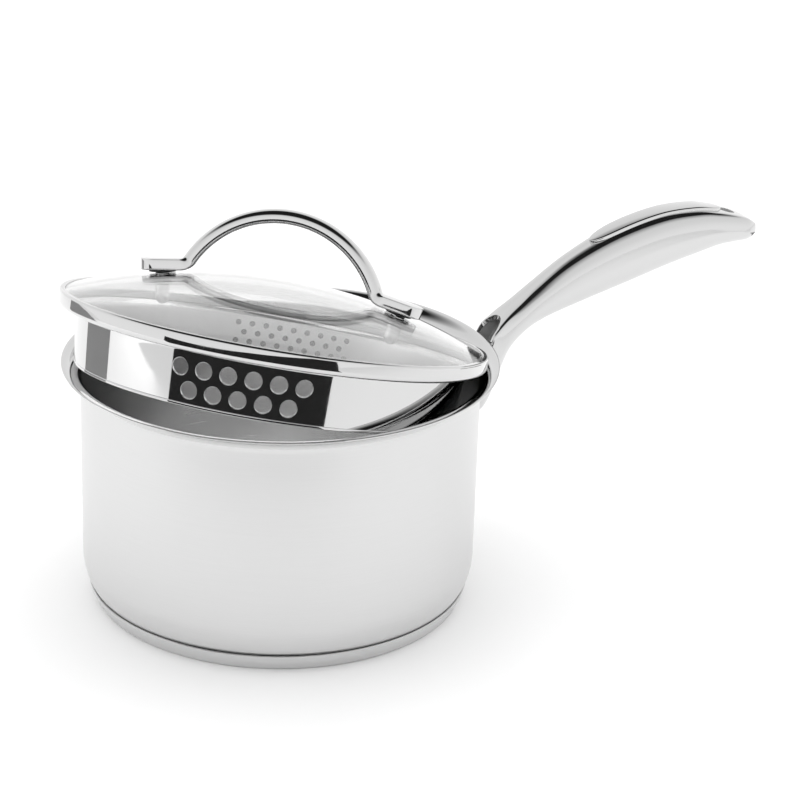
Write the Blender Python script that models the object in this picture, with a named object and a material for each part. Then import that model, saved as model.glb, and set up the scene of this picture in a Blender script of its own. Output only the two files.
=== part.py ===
"""Stainless steel saucepan with a cast handle and a glass straining lid that leans in its mouth.

Sizes are in millimetres and are scaled to metres where a mesh is made. The pan stands on z = 0
with its axis on the origin, and the pan's handle runs along +X. The lid's pieces are drawn about
the lid's own axis, and one empty leans and turns them all.
"""
import math

import bmesh
import bpy
from mathutils import Matrix, Vector

MM = 0.001
GAP = 0.3                    # space kept between two pieces that touch
TURN_STEPS = 64              # facets round the large circles
SMALL_STEPS = 16             # facets round the fixings

# Pan body
PAN_RADIUS = 100.0           # outside of the straight wall
PAN_HEIGHT = 125.8           # top of the lip above the table
PAN_WALL = 1.0
LIP_REACH = 8.8              # how far the bell mouth flares past the wall
CORNER_RADIUS = 30.0         # slow curve at the foot of the wall
CORNER_SWEEP = 29.0          # degrees of it before the tighter turn
HEEL_RADIUS = 3.0            # tighter turn into the floor

# Base
CAP_SHEET = 1.0
CAP_HEIGHT = 8.8
CAP_RIM = 0.8                # width of the cap's upper edge
CAP_FIT = 0.3                # room between the pan's wall and the cap's upper edge
CAP_TUCK = 5.0               # how far the flat underside ends inside the cap's upper edge
CAP_ROUND = 2.0              # its lower edge
DISC_THICKNESS = 5.9
DISC_BEVEL = 0.6

# Pan handle, measured out from the wall and up from the lip
BRACKET_SHEET = 1.6
BRACKET_HALF_WIDTH = 12.6
BRACKET_ROUND = 5.0          # corners of the saddle plate
BRACKET_TOP = -10.5
BRACKET_BOTTOM = -40.0
TONGUE_WIDTH = 13.0
TONGUE_THICKNESS = 2.4
# Reach from the plate's inner face and height over its lower edge
TONGUE_PATH = [(0.64, 16.0), (4.6, 17.0), (16.6, 29.0)]
HANDLE_WALL = 2.2
HANDLE_HOLLOW_END = 128.0    # the hollow runs this far out
NOTCH_WIDTH = 17.0           # open top of the handle's root
NOTCH_REACH = 18.5
NOTCH_FLOOR = -6.0
HANG_HOLE = 8.6
HANG_HOLE_REACH = 147.0
HANG_HOLE_STEPS = 20
PANEL_START = 68.0
PANEL_END = 143.0
PANEL_WIDTH = 12.6
PANEL_RISE = 1.8
PANEL_SINK = 1.2             # how far its sides go down into the grip
PANEL_BEVEL = 0.8
PANEL_STEPS = 16
PANEL_ROUNDNESS = 6          # higher makes its ends squarer
# Each station: top reach and rise, bottom reach and rise, half width of the top, half width
HANDLE_STATIONS = [
    (2.4, -10.3, 2.4, -40.3, 9.5, 12.6),
    (6.4, -6.7, 6.4, -40.3, 9.5, 12.6),
    (10.0, -0.6, 10.5, -35.5, 9.5, 12.3),
    (12.6, 3.8, 14.5, -26.0, 9.2, 11.9),
    (19.0, 10.0, 21.5, -8.8, 7.6, 10.8),
    (27.0, 16.3, 31.0, 1.4, 6.2, 10.2),
    (37.0, 24.4, 43.0, 7.8, 5.4, 10.0),
    (55.0, 37.4, 66.0, 15.4, 5.4, 10.5),
    (80.0, 50.0, 89.0, 22.8, 6.6, 12.0),
    (105.0, 57.3, 110.0, 29.8, 7.6, 12.7),
    (125.0, 58.8, 128.0, 34.9, 8.0, 12.7),
    (138.0, 57.3, 140.0, 38.2, 8.2, 12.3),
    (149.5, 54.8, 149.0, 39.2, 8.0, 11.6),
    (157.0, 52.1, 156.5, 39.6, 7.0, 10.2),
    (161.5, 49.3, 161.1, 40.7, 4.8, 7.2),
    (163.8, 47.2, 163.6, 42.6, 2.6, 4.0),
]
STATION_STEPS = 2            # sections from one station to the next

# Lid rim and straining band, heights from the lid's own zero just inside the rim's roll
RIM_OVERHANG = 8.1           # rim radius past the pan's inside wall
RIM_HEIGHT = 7.4
RIM_TOP_WIDTH = 2.9
RIM_UNDER = -1.05            # underside of the rim
RIM_SHEET = 0.8
RIM_ROUND = 1.3
RIM_LOWER_ROUND = 3.2        # roll of the rim's lower half
BAND_CLEARANCE = 1.5         # between the closed band and the pan's inside wall
BAND_TOP = -2.5              # where the band bends out into the rim
BAND_DEPTH = 28.0
BAND_TAPER = 2.5
HEM_HEIGHT = 1.5
HEM_WIDTH = 1.3
PUNCH_INSIDE = 8.0           # reach of the punches to both sides of the band
PUNCH_OUTSIDE = 6.0
BIG_HOLE = 7.8
BIG_PITCH = 11.8
BIG_MIDDLE = -90.4           # degrees round the band to the middle of the large holes
BIG_HEIGHTS = (-9.8, -20.2)
BIG_COUNTS = (6, 5)
BIG_SIDES = 12
SMALL_HOLE = 3.1
SMALL_PITCH = 7.55
SMALL_MIDDLE = 90.0
SMALL_HEIGHTS = (-6.9, -11.9, -16.9)
SMALL_COUNTS = (9, 8, 9)
SMALL_SIDES = 8

# Glass and its seal
GLASS_THICKNESS = 4.0
GLASS_APEX = 26.3            # top of the dome
GLASS_EDGE_UNDER = 2.3       # lower face of the glass at its edge
GLASS_TUCK = 1.6             # how far the glass goes under the rim's top
GLASS_BEVEL = 0.7
SEAL_WIDTH = 2.2

# Lid handle and its fixings
STUD_SPREAD = 118.6
STUD_LEAN = 9.5              # degrees, tops outwards
STUD_DIAMETER = 4.0
STUD_FIT = 0.3               # radial room round the studs
GASKET_DIAMETER = 13.3
GASKET_THICKNESS = 0.7
SLEEVE_WALL = 0.9
PAD_DIAMETER = 10.0
PAD_THICKNESS = 1.0
WASHER_DIAMETER = 9.0
WASHER_THICKNESS = 0.5
NUT_DIAMETER = 6.9
NUT_LENGTH = 9.0
STUD_IN_FOOT = 2.9
ARCH_RADIUS = 51.5           # middle of the bow
ARCH_APEX = 58.5             # middle of the bow at its crown
ARCH_THICKNESS = 7.0
ARCH_WIDTH = 12.2
ARCH_FILLET = 6.0
FOOT_THICKNESS = 5.8
FOOT_WIDTH = 14.0
FOOT_LENGTH = 10.8           # past the stud
FOOT_ANGLES = (30, 55, 75)   # degrees round the foot's half-round end
# Right half of the cross-sections, underside to top, as shares of half the width and of the thickness
BOW_SHAPE = ((0.78, 0.0), (0.95, 0.09), (1.0, 0.3), (0.99, 0.6), (0.84, 0.82), (0.52, 0.95), (0.18, 1.0))
FOOT_SHAPE = ((0.9, 0.0), (0.98, 0.05), (1.0, 0.18), (1.0, 0.8), (0.92, 0.93), (0.52, 0.99), (0.18, 1.0))
BOW_STEPS = 12               # sections of half the bow
BEND_STEPS = 5               # sections of the bend into the foot

# How the lid lies in the pan's mouth
LID_LEAN = 15.3              # degrees, low side towards the handle
LEAN_AZIMUTH = 36.1
LID_TURN = -27.5             # of the lid handle about the lid's axis
SEAT_GAP = 0.3

PAN_INSIDE = PAN_RADIUS - PAN_WALL
LIP_RADIUS = PAN_RADIUS + LIP_REACH
LIP_CENTRE_Z = PAN_HEIGHT - PAN_WALL - LIP_REACH
FLOOR_UNDER = CAP_SHEET + GAP + DISC_THICKNESS + GAP
RIM_RADIUS = PAN_INSIDE + RIM_OVERHANG
RIM_ROLL_RADIUS = RIM_RADIUS - RIM_LOWER_ROUND
BAND_RADIUS = PAN_INSIDE - BAND_CLEARANCE
GLASS_EDGE_TOP = GLASS_EDGE_UNDER + GLASS_THICKNESS
GLASS_RADIUS = RIM_RADIUS - RIM_TOP_WIDTH + GLASS_TUCK


def material(name, colour, roughness, metallic, alpha=1.0):
    """Return a plain shaded material."""
    made = bpy.data.materials.new(name)
    made.use_nodes = True
    shader = made.node_tree.nodes["Principled BSDF"]
    shader.inputs["Base Color"].default_value = (*colour, 1.0)
    shader.inputs["Roughness"].default_value = roughness
    shader.inputs["Metallic"].default_value = metallic
    shader.inputs["Alpha"].default_value = alpha
    made.diffuse_color = (*colour, alpha)
    return made


def finish(name, bm, look, parent=None, sharp=38.0):
    """Turn a bmesh drawn in millimetres into a named object."""
    bmesh.ops.recalc_face_normals(bm, faces=bm.faces)
    bmesh.ops.scale(bm, vec=(MM, MM, MM), verts=bm.verts)
    mesh = bpy.data.meshes.new(name)
    bm.to_mesh(mesh)
    bm.free()
    mesh.shade_smooth()
    mesh.set_sharp_from_angle(angle=math.radians(sharp))
    made = bpy.data.objects.new(name, mesh)
    bpy.context.collection.objects.link(made)
    made.parent = parent
    if look:
        mesh.materials.append(look)
    return made


def combine(target, tool, operation):
    """Cut the tool out of the target, or join it on. The tool itself is no piece."""
    step = target.modifiers.new(tool.name, "BOOLEAN")
    step.operation = operation
    step.object = tool
    tool.hide_render = True
    tool.display_type = "WIRE"


def arc(centre_x, centre_z, radius, start, end, count):
    """Points along an arc, with its angles in degrees from the first axis."""
    points = []
    for index in range(count + 1):
        angle = math.radians(start + (end - start) * index / count)
        points.append((centre_x + radius * math.cos(angle), centre_z + radius * math.sin(angle)))
    return points


def turned(outline, steps, bm=None, place=Matrix()):
    """Spin a closed outline of radius and height about Z. Points on the axis become one vertex."""
    bm = bm or bmesh.new()
    rings = []
    for radius, height in outline:
        if radius < 1e-6:
            rings.append([bm.verts.new(place @ Vector((0.0, 0.0, height)))])
            continue
        ring = []
        for index in range(steps):
            angle = 2 * math.pi * index / steps
            spot = Vector((radius * math.cos(angle), radius * math.sin(angle), height))
            ring.append(bm.verts.new(place @ spot))
        rings.append(ring)
    for lower, upper in zip(rings, rings[1:] + rings[:1]):
        if len(lower) == 1 and len(upper) == 1:
            continue
        for index in range(steps):
            after = (index + 1) % steps
            if len(lower) == 1:
                bm.faces.new((lower[0], upper[after], upper[index]))
            elif len(upper) == 1:
                bm.faces.new((lower[index], lower[after], upper[0]))
            else:
                bm.faces.new((lower[index], lower[after], upper[after], upper[index]))
    return bm


def bridged(bm, loops):
    """Skin a row of equal loops with quads and return their vertices."""
    rows = [[bm.verts.new(point) for point in loop] for loop in loops]
    for near, far in zip(rows, rows[1:]):
        join_rows(bm, near, far)
    return rows


def join_rows(bm, near, far):
    """Fill between two loops with as many vertices each."""
    count = len(near)
    for index in range(count):
        after = (index + 1) % count
        bm.faces.new((near[index], near[after], far[after], far[index]))


def lofted(loops):
    """Skin a row of loops and close both ends."""
    bm = bmesh.new()
    rows = bridged(bm, loops)
    bm.faces.new(rows[0])
    bm.faces.new(rows[-1])
    return bm


def body_radius(height):
    """Outside radius of the pan's wall at a height within its slow lower curve."""
    centre_z = corner_height()
    if height >= centre_z:
        return PAN_RADIUS
    drop = min(centre_z - height, CORNER_RADIUS)
    return PAN_RADIUS - CORNER_RADIUS + math.sqrt(CORNER_RADIUS ** 2 - drop ** 2)


def corner_height():
    """Height where the straight wall starts, so that both curves end at the floor."""
    sweep = math.sin(math.radians(CORNER_SWEEP))
    return FLOOR_UNDER + HEEL_RADIUS * (1.0 - sweep) + CORNER_RADIUS * sweep


def wall_curve(thickness):
    """Floor to lip, offset inwards from the outside of the sheet."""
    start_z = corner_height()
    sweep = math.radians(CORNER_SWEEP)
    heel_x = PAN_RADIUS - (CORNER_RADIUS - HEEL_RADIUS) * (1.0 - math.cos(sweep)) - HEEL_RADIUS
    heel_z = FLOOR_UNDER + HEEL_RADIUS
    heel = arc(heel_x, heel_z, HEEL_RADIUS - thickness, -90.0, -CORNER_SWEEP, 3)
    slow = arc(PAN_RADIUS - CORNER_RADIUS, start_z, CORNER_RADIUS - thickness, -CORNER_SWEEP, 0.0, 3)
    bell = arc(LIP_RADIUS, LIP_CENTRE_Z, LIP_REACH + thickness, 180.0, 90.0, 6)
    return heel + slow[1:] + bell


def make_pan(steel, core):
    """Drawn body, the heat-spreading disc under its floor and the cap that covers the disc."""
    outside = [(0.0, FLOOR_UNDER)] + wall_curve(0.0)
    inside = wall_curve(PAN_WALL)[::-1]
    edge = [(LIP_RADIUS + 0.3 * PAN_WALL, PAN_HEIGHT - 0.5 * PAN_WALL)]
    outline = outside + edge + inside + [(0.0, FLOOR_UNDER + PAN_WALL)]
    finish("pan_body", turned(outline, TURN_STEPS), steel)

    rim_inside = body_radius(CAP_HEIGHT) + CAP_FIT
    rim_outside = rim_inside + CAP_RIM
    centre_x = rim_outside - CAP_TUCK
    rise = CAP_HEIGHT - CAP_ROUND
    # The flank runs straight from the upper edge onto the lower edge's arc
    flank = math.atan2(rise, CAP_TUCK) - math.acos(CAP_ROUND / math.hypot(rise, CAP_TUCK))
    flank = math.degrees(flank)
    outer = [(0.0, 0.0)] + arc(centre_x, CAP_ROUND, CAP_ROUND, -90.0, flank, 4)
    outer += [(rim_outside, CAP_HEIGHT - 0.2), (rim_outside - 0.2, CAP_HEIGHT)]
    inner = arc(centre_x, CAP_ROUND, CAP_ROUND - CAP_SHEET, flank, -90.0, 3)
    outline = outer + [(rim_inside, CAP_HEIGHT)] + inner + [(0.0, CAP_SHEET)]
    finish("base_cap", turned(outline, TURN_STEPS), steel)

    low = CAP_SHEET + GAP
    high = low + DISC_THICKNESS
    edge = centre_x - GAP
    flat = edge - DISC_BEVEL
    disc = [(0.0, low), (flat, low), (edge, low + DISC_BEVEL), (edge, high - DISC_BEVEL)]
    disc += [(flat, high), (0.0, high)]
    finish("heat_disc", turned(disc, TURN_STEPS), core)


def make_bracket(steel):
    """Saddle plate on the pan's wall with a tongue that runs up into the hollow handle."""
    near = PAN_RADIUS + GAP
    far = near + BRACKET_SHEET
    low = PAN_HEIGHT + BRACKET_BOTTOM
    high = PAN_HEIGHT + BRACKET_TOP
    straight = 1.0 - BRACKET_ROUND / BRACKET_HALF_WIDTH
    loops = []
    spread = math.asin(BRACKET_HALF_WIDTH / far)
    for index in range(13):
        share = index / 6.0 - 1.0
        angle = spread * share
        edge = min(1.0, max(0.0, abs(share) - straight) / (1.0 - straight))
        inset = BRACKET_ROUND * (1.0 - math.sqrt(1.0 - edge ** 2))
        loop = []
        foot, head = low + inset, high - inset
        for radius, height in ((near, foot), (far, foot), (far, head), (near, head)):
            loop.append(Vector((radius * math.cos(angle), radius * math.sin(angle), height)))
        loops.append(loop)
    plate = finish("handle_bracket", lofted(loops), steel)

    half = TONGUE_WIDTH / 2
    loops = []
    for reach, rise in TONGUE_PATH:
        lift = TONGUE_THICKNESS
        corners = ((-half, 0.0), (half, 0.0), (half, lift), (-half, lift))
        loops.append([Vector((near + reach, side, low + rise + up)) for side, up in corners])
    tongue = finish("tongue", lofted(loops), None)
    combine(plate, tongue, "UNION")


def spread_stations():
    """Smooth the handle's stations into closely spaced ones."""
    rows = HANDLE_STATIONS
    smooth = []
    for index in range(len(rows) - 1):
        before = rows[max(index - 1, 0)]
        start = rows[index]
        end = rows[index + 1]
        after = rows[min(index + 2, len(rows) - 1)]
        for step in range(STATION_STEPS):
            smooth.append(tuple(curve_value(values, step / STATION_STEPS)
                                for values in zip(before, start, end, after)))
    smooth.append(rows[-1])
    return smooth


def curve_value(values, share):
    """Point on the smooth curve through the two middle values."""
    before, start, end, after = values
    slope_start = (end - before) / 2
    slope_end = (after - start) / 2
    cube = share ** 3
    square = share ** 2
    return ((2 * cube - 3 * square + 1) * start + (cube - 2 * square + share) * slope_start
            + (3 * square - 2 * cube) * end + (cube - square) * slope_end)


def handle_outline(top_half, half):
    """Half outline of the grip as side position and share of its depth, crest to keel."""
    crest = [(0.5 * top_half, 0.0), (top_half, 0.012), (top_half + 0.9, 0.05)]
    flank = [(0.93 * half, 0.27), (half, 0.55), (0.89 * half, 0.75)]
    keel = [(0.66 * half, 0.93), (0.3 * half, 1.0)]
    return crest + flank + keel


def handle_loop(station, wall):
    """One cross-section of the handle, drawn inwards by the wall."""
    top_reach, top_rise, low_reach, low_rise, top_half, half = station
    top = Vector((PAN_RADIUS + top_reach, 0.0, PAN_HEIGHT + top_rise))
    low = Vector((PAN_RADIUS + low_reach, 0.0, PAN_HEIGHT + low_rise))
    depth = (top - low).length
    side_scale = 1.0 - wall / half
    depth_scale = 1.0 - 2.0 * wall / depth
    right = []
    for side, share in handle_outline(top_half, half):
        spot = top.lerp(low, 0.5 + (share - 0.5) * depth_scale)
        right.append(spot + Vector((0.0, side * side_scale, 0.0)))
    left = [Vector((spot.x, -spot.y, spot.z)) for spot in reversed(right)]
    return right + left


def wrap_to_bracket(loop):
    """Bend a flat end so that it follows the bracket's round face."""
    radius = PAN_RADIUS + GAP + BRACKET_SHEET + GAP
    return [Vector((math.sqrt(radius ** 2 - spot.y ** 2), spot.y, spot.z)) for spot in loop]


def make_handle(steel):
    """Hollow cast handle, open at its root, with a raised panel and a hole to hang it by."""
    stations = spread_stations()
    outer = [handle_loop(station, 0.0) for station in stations]
    outer[0] = wrap_to_bracket(outer[0])
    hollow = [station for station in stations if station[0] < HANDLE_HOLLOW_END]
    inner = [handle_loop(station, HANDLE_WALL) for station in hollow]
    inner[0] = wrap_to_bracket(inner[0])
    bm = bmesh.new()
    outer_rows = bridged(bm, outer)
    inner_rows = bridged(bm, inner)
    join_rows(bm, outer_rows[0], inner_rows[0])
    bm.faces.new(inner_rows[-1])
    bm.faces.new(outer_rows[-1])
    grip = finish("pan_handle", bm, steel)

    combine(grip, make_panel(stations), "UNION")
    combine(grip, make_notch(), "DIFFERENCE")
    hole = arc(0.0, 0.0, HANG_HOLE / 2, 0.0, 360.0, HANG_HOLE_STEPS)[:-1]
    reach = PAN_RADIUS + HANG_HOLE_REACH
    loops = [[Vector((reach + x, y, PAN_HEIGHT + rise)) for x, y in hole] for rise in (30.0, 65.0)]
    combine(grip, finish("hang_hole", lofted(loops), None), "DIFFERENCE")


def make_panel(stations):
    """Long raised panel along the grip's crest, round at both ends."""
    loops = []
    middle = (PANEL_START + PANEL_END) / 2
    half_length = (PANEL_END - PANEL_START) / 2
    for index in range(PANEL_STEPS + 1):
        # Just short of the very ends, where the width would be nothing
        share = -0.995 * math.cos(math.pi * index / PANEL_STEPS)
        reach = middle + half_length * share
        top, low = crest_at(stations, reach)
        up = (top - low).normalized()
        half = PANEL_WIDTH / 2 * math.sqrt(1.0 - abs(share) ** PANEL_ROUNDNESS)
        bevel = min(PANEL_BEVEL, 0.4 * half)
        shape = [(-half, -PANEL_SINK), (half, -PANEL_SINK), (half, PANEL_RISE - bevel)]
        shape += [(half - bevel, PANEL_RISE), (bevel - half, PANEL_RISE), (-half, PANEL_RISE - bevel)]
        loops.append([top + up * rise + Vector((0.0, side, 0.0)) for side, rise in shape])
    return finish("panel", lofted(loops), None)


def crest_at(stations, reach):
    """Top and bottom of the grip where its crest is this far out."""
    for near, far in zip(stations, stations[1:]):
        if near[0] <= reach <= far[0]:
            share = (reach - near[0]) / (far[0] - near[0])
            row = [a + (b - a) * share for a, b in zip(near, far)]
            top = Vector((PAN_RADIUS + row[0], 0.0, PAN_HEIGHT + row[1]))
            low = Vector((PAN_RADIUS + row[2], 0.0, PAN_HEIGHT + row[3]))
            return top, low
    return None


def make_notch():
    """U-shaped tool that opens the top of the handle's root next to the lip."""
    half = NOTCH_WIDTH / 2
    end = PAN_RADIUS + NOTCH_REACH - half
    plan = [(PAN_RADIUS + 1.0, -half)] + arc(end, 0.0, half, -90.0, 90.0, 10)
    plan.append((PAN_RADIUS + 1.0, half))
    loops = [[Vector((x, y, PAN_HEIGHT + rise)) for x, y in plan] for rise in (NOTCH_FLOOR, 20.0)]
    return finish("notch", lofted(loops), None)


def glass_height(radius):
    """Top of the dome over the lid's own zero, part of a sphere."""
    sphere = glass_sphere()
    return GLASS_APEX - sphere + math.sqrt(sphere ** 2 - radius ** 2)


def glass_sphere():
    """Radius of the sphere through the dome's apex and its edge."""
    rise = GLASS_APEX - GLASS_EDGE_TOP
    return (GLASS_RADIUS ** 2 + rise ** 2) / (2 * rise)


def seat_clearance(radius):
    """Room over the glass for a flat face of this radius on the leaning stud."""
    slope = math.asin(STUD_SPREAD / 2 / glass_sphere()) - math.radians(STUD_LEAN)
    return GAP + radius * math.tan(abs(slope))


def stud_places():
    """Frames on the glass at both studs, with Z along the stud."""
    places = []
    for side in (-1.0, 1.0):
        reach = side * STUD_SPREAD / 2
        spot = Matrix.Translation((reach, 0.0, glass_height(reach)))
        places.append(spot @ Matrix.Rotation(side * math.radians(STUD_LEAN), 4, "Y"))
    return places


def paired(name, outline, look, lid, steps=SMALL_STEPS):
    """The same turned fixing at both studs, as two objects with one mesh."""
    left = finish(name + "_left", turned(outline, steps), look, lid)
    right = bpy.data.objects.new(name + "_right", left.data)
    bpy.context.collection.objects.link(right)
    right.parent = lid
    pair = (left, right)
    for made, place in zip(pair, stud_places()):
        place.translation *= MM
        made.matrix_local = place
    return pair


def make_glass(glass, silicone, lid):
    """Domed glass with two stud holes, lying on a seal ring whose top follows it."""
    radii = [GLASS_RADIUS * share for share in (0.25, 0.45, 0.62, 0.78, 0.91)]
    top = [(0.0, GLASS_APEX)] + [(radius, glass_height(radius)) for radius in radii]
    edge = [(GLASS_RADIUS, GLASS_EDGE_TOP - GLASS_BEVEL), (GLASS_RADIUS, GLASS_EDGE_UNDER + GLASS_BEVEL)]
    under = [(radius, glass_height(radius) - GLASS_THICKNESS) for radius in reversed(radii)]
    outline = top + edge + under + [(0.0, GLASS_APEX - GLASS_THICKNESS)]
    dome = finish("lid_glass", turned(outline, TURN_STEPS), glass, lid)
    radius = STUD_DIAMETER / 2 + STUD_FIT + SLEEVE_WALL + GAP
    low = -2.0 * GLASS_THICKNESS
    drill = [(0.0, low), (radius, low), (radius, GLASS_THICKNESS), (0.0, GLASS_THICKNESS)]
    for tool in paired("stud_hole", drill, None, lid):
        combine(dome, tool, "DIFFERENCE")

    low = RIM_UNDER + RIM_SHEET + GAP
    inside = RIM_ROLL_RADIUS - SEAL_WIDTH
    last_radius, last_height = under[0]
    slope = (last_height - GLASS_EDGE_UNDER - GLASS_BEVEL) / (GLASS_RADIUS - last_radius)
    high = last_height - slope * (RIM_ROLL_RADIUS - last_radius) - GAP
    seal = [(inside, low), (RIM_ROLL_RADIUS, low), (RIM_ROLL_RADIUS, high)]
    seal.append((inside, high + slope * SEAL_WIDTH))
    finish("glass_seal", turned(seal, TURN_STEPS), silicone, lid)


def make_band(steel, lid):
    """Rolled rim and deep straining band, pressed from one sheet."""
    low_radius = BAND_RADIUS - BAND_TAPER
    hem_inside = low_radius - HEM_WIDTH
    outline = [(low_radius - 0.3, -BAND_DEPTH), (low_radius, -BAND_DEPTH + 0.4)]
    outline += [(low_radius, -BAND_DEPTH + HEM_HEIGHT - 0.2), (low_radius - 0.25, -BAND_DEPTH + HEM_HEIGHT)]
    outline += [(BAND_RADIUS, BAND_TOP), (BAND_RADIUS + 1.0, RIM_UNDER)]
    roll_z = RIM_UNDER + RIM_LOWER_ROUND
    outline += arc(RIM_ROLL_RADIUS, roll_z, RIM_LOWER_ROUND, -90.0, 0.0, 5)
    outline += arc(RIM_RADIUS - RIM_ROUND, RIM_HEIGHT - RIM_ROUND, RIM_ROUND, 0.0, 90.0, 4)
    rim_inside = RIM_RADIUS - RIM_TOP_WIDTH
    outline += [(rim_inside, RIM_HEIGHT - 0.3), (rim_inside, RIM_HEIGHT - RIM_SHEET)]
    outline += arc(RIM_RADIUS - RIM_ROUND, RIM_HEIGHT - RIM_ROUND, RIM_ROUND - RIM_SHEET, 90.0, 0.0, 2)
    outline += arc(RIM_ROLL_RADIUS, roll_z, RIM_LOWER_ROUND - RIM_SHEET, 0.0, -90.0, 4)
    outline += [(BAND_RADIUS + 0.6, RIM_UNDER + RIM_SHEET), (BAND_RADIUS - RIM_SHEET, BAND_TOP + 0.7)]
    outline.append((hem_inside + 0.5, -BAND_DEPTH + HEM_HEIGHT))
    outline += [(hem_inside, -BAND_DEPTH + HEM_HEIGHT - 0.3), (hem_inside, -BAND_DEPTH + 0.3)]
    outline.append((hem_inside + 0.3, -BAND_DEPTH))
    band = finish("strainer_rim", turned(outline, TURN_STEPS), steel, lid)
    combine(band, make_punches(lid), "DIFFERENCE")


def make_punches(lid):
    """Tool with every straining hole: large ones on one side, small ones on the other."""
    bm = bmesh.new()
    big = (BIG_MIDDLE, BIG_HOLE, BIG_PITCH, BIG_HEIGHTS, BIG_COUNTS, BIG_SIDES)
    small = (SMALL_MIDDLE, SMALL_HOLE, SMALL_PITCH, SMALL_HEIGHTS, SMALL_COUNTS, SMALL_SIDES)
    for middle, diameter, pitch, heights, counts, sides in (big, small):
        step = math.degrees(pitch / BAND_RADIUS)
        for height, count in zip(heights, counts):
            for index in range(count):
                angle = math.radians(middle + step * (index - (count - 1) / 2))
                aim = Matrix.Rotation(angle, 4, "Z") @ Matrix.Rotation(math.pi / 2, 4, "Y")
                place = Matrix.Translation((0.0, 0.0, height)) @ aim
                radius = diameter / 2
                start = BAND_RADIUS - PUNCH_INSIDE
                end = BAND_RADIUS + PUNCH_OUTSIDE
                turned([(0.0, start), (radius, start), (radius, end), (0.0, end)], sides, bm, place)
    return finish("punches", bm, None, lid)


def make_fixings(steel, rubber, silicone, lid):
    """Studs, gaskets, pads, washers and cap nuts that hold the lid's handle."""
    bore = STUD_DIAMETER / 2 + STUD_FIT
    sleeve = bore + SLEEVE_WALL
    radius = GASKET_DIAMETER / 2
    low = seat_clearance(radius)
    high = low + GASKET_THICKNESS
    pad_top = -GLASS_THICKNESS - seat_clearance(PAD_DIAMETER / 2)
    gasket = [(bore, pad_top + GAP), (sleeve, pad_top + GAP), (sleeve, low), (radius, low)]
    gasket += [(radius, high - 0.2), (radius - 0.2, high), (bore, high)]
    paired("foot_gasket", gasket, rubber, lid)

    washer_top = pad_top - PAD_THICKNESS - GAP
    nut_top = washer_top - WASHER_THICKNESS - GAP
    rings = (("glass_pad", PAD_DIAMETER, PAD_THICKNESS, pad_top, silicone),
             ("nut_washer", WASHER_DIAMETER, WASHER_THICKNESS, washer_top, steel))
    for name, diameter, thickness, top, look in rings:
        radius = diameter / 2
        low = top - thickness
        paired(name, [(bore, low), (radius, low), (radius, top), (bore, top)], look, lid)

    radius = STUD_DIAMETER / 2
    head = foot_underside() + STUD_IN_FOOT
    tail = nut_top - 0.6 * NUT_LENGTH
    paired("lid_stud", [(0.0, tail), (radius, tail), (radius, head), (0.0, head)], steel, lid)

    radius = NUT_DIAMETER / 2
    nut_end = nut_top - NUT_LENGTH
    crown = arc(0.0, nut_end + radius, radius, 0.0, -90.0, 4)[:-1]
    outline = [(bore, nut_top), (radius - 0.3, nut_top), (radius, nut_top - 0.3)] + crown
    outline += [(0.0, nut_end), (0.0, tail - GAP), (bore, tail - GAP)]
    paired("cap_nut", outline, steel, lid)


def foot_underside():
    """Height of the lid handle's feet over the glass, along the studs."""
    return seat_clearance(GASKET_DIAMETER / 2) + GASKET_THICKNESS + GAP


def bow_path():
    """Half of the lid handle's middle line, crown to the end of the foot, as reach, height, angle."""
    slope = math.radians(STUD_LEAN)
    lift = foot_underside() + FOOT_THICKNESS / 2
    foot_x = STUD_SPREAD / 2 + lift * math.sin(slope)
    foot_z = glass_height(STUD_SPREAD / 2) + lift * math.cos(slope)
    centre_z = ARCH_APEX - ARCH_RADIUS
    # The bend lies inside the foot's line and outside the bow, tangent to both
    line_x = foot_x + ARCH_FILLET * math.sin(slope)
    line_z = foot_z + ARCH_FILLET * math.cos(slope)
    reach = ARCH_RADIUS + ARCH_FILLET
    away_x = line_x
    away_z = line_z - centre_z
    along = away_x * math.cos(slope) - away_z * math.sin(slope)
    back = along - math.sqrt(along ** 2 - (away_x ** 2 + away_z ** 2 - reach ** 2))
    bend_x = line_x - back * math.cos(slope)
    bend_z = line_z + back * math.sin(slope)
    meet = math.atan2(bend_z - centre_z, bend_x)
    rows = []
    for index in range(BOW_STEPS + 1):
        angle = math.pi / 2 + (meet - math.pi / 2) * index / BOW_STEPS
        rows.append((ARCH_RADIUS * math.cos(angle), centre_z + ARCH_RADIUS * math.sin(angle), angle))
    turn_start = meet + math.pi
    turn_end = math.pi * 1.5 - slope
    for index in range(1, BEND_STEPS + 1):
        angle = turn_start + (turn_end - turn_start) * index / BEND_STEPS
        rows.append((bend_x + ARCH_FILLET * math.cos(angle), bend_z + ARCH_FILLET * math.sin(angle),
                     angle - math.pi))
    end = foot_x + FOOT_LENGTH * math.cos(slope)
    start = rows[-1][0]
    rounded = FOOT_WIDTH / 2
    reaches = [start + (end - rounded - start) * 0.5, end - rounded]
    reaches += [end - rounded * (1.0 - math.sin(math.radians(angle))) for angle in FOOT_ANGLES]
    for reach in reaches:
        rows.append((reach, foot_z - (reach - foot_x) * math.tan(slope), math.pi / 2 - slope))
    return rows


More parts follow.
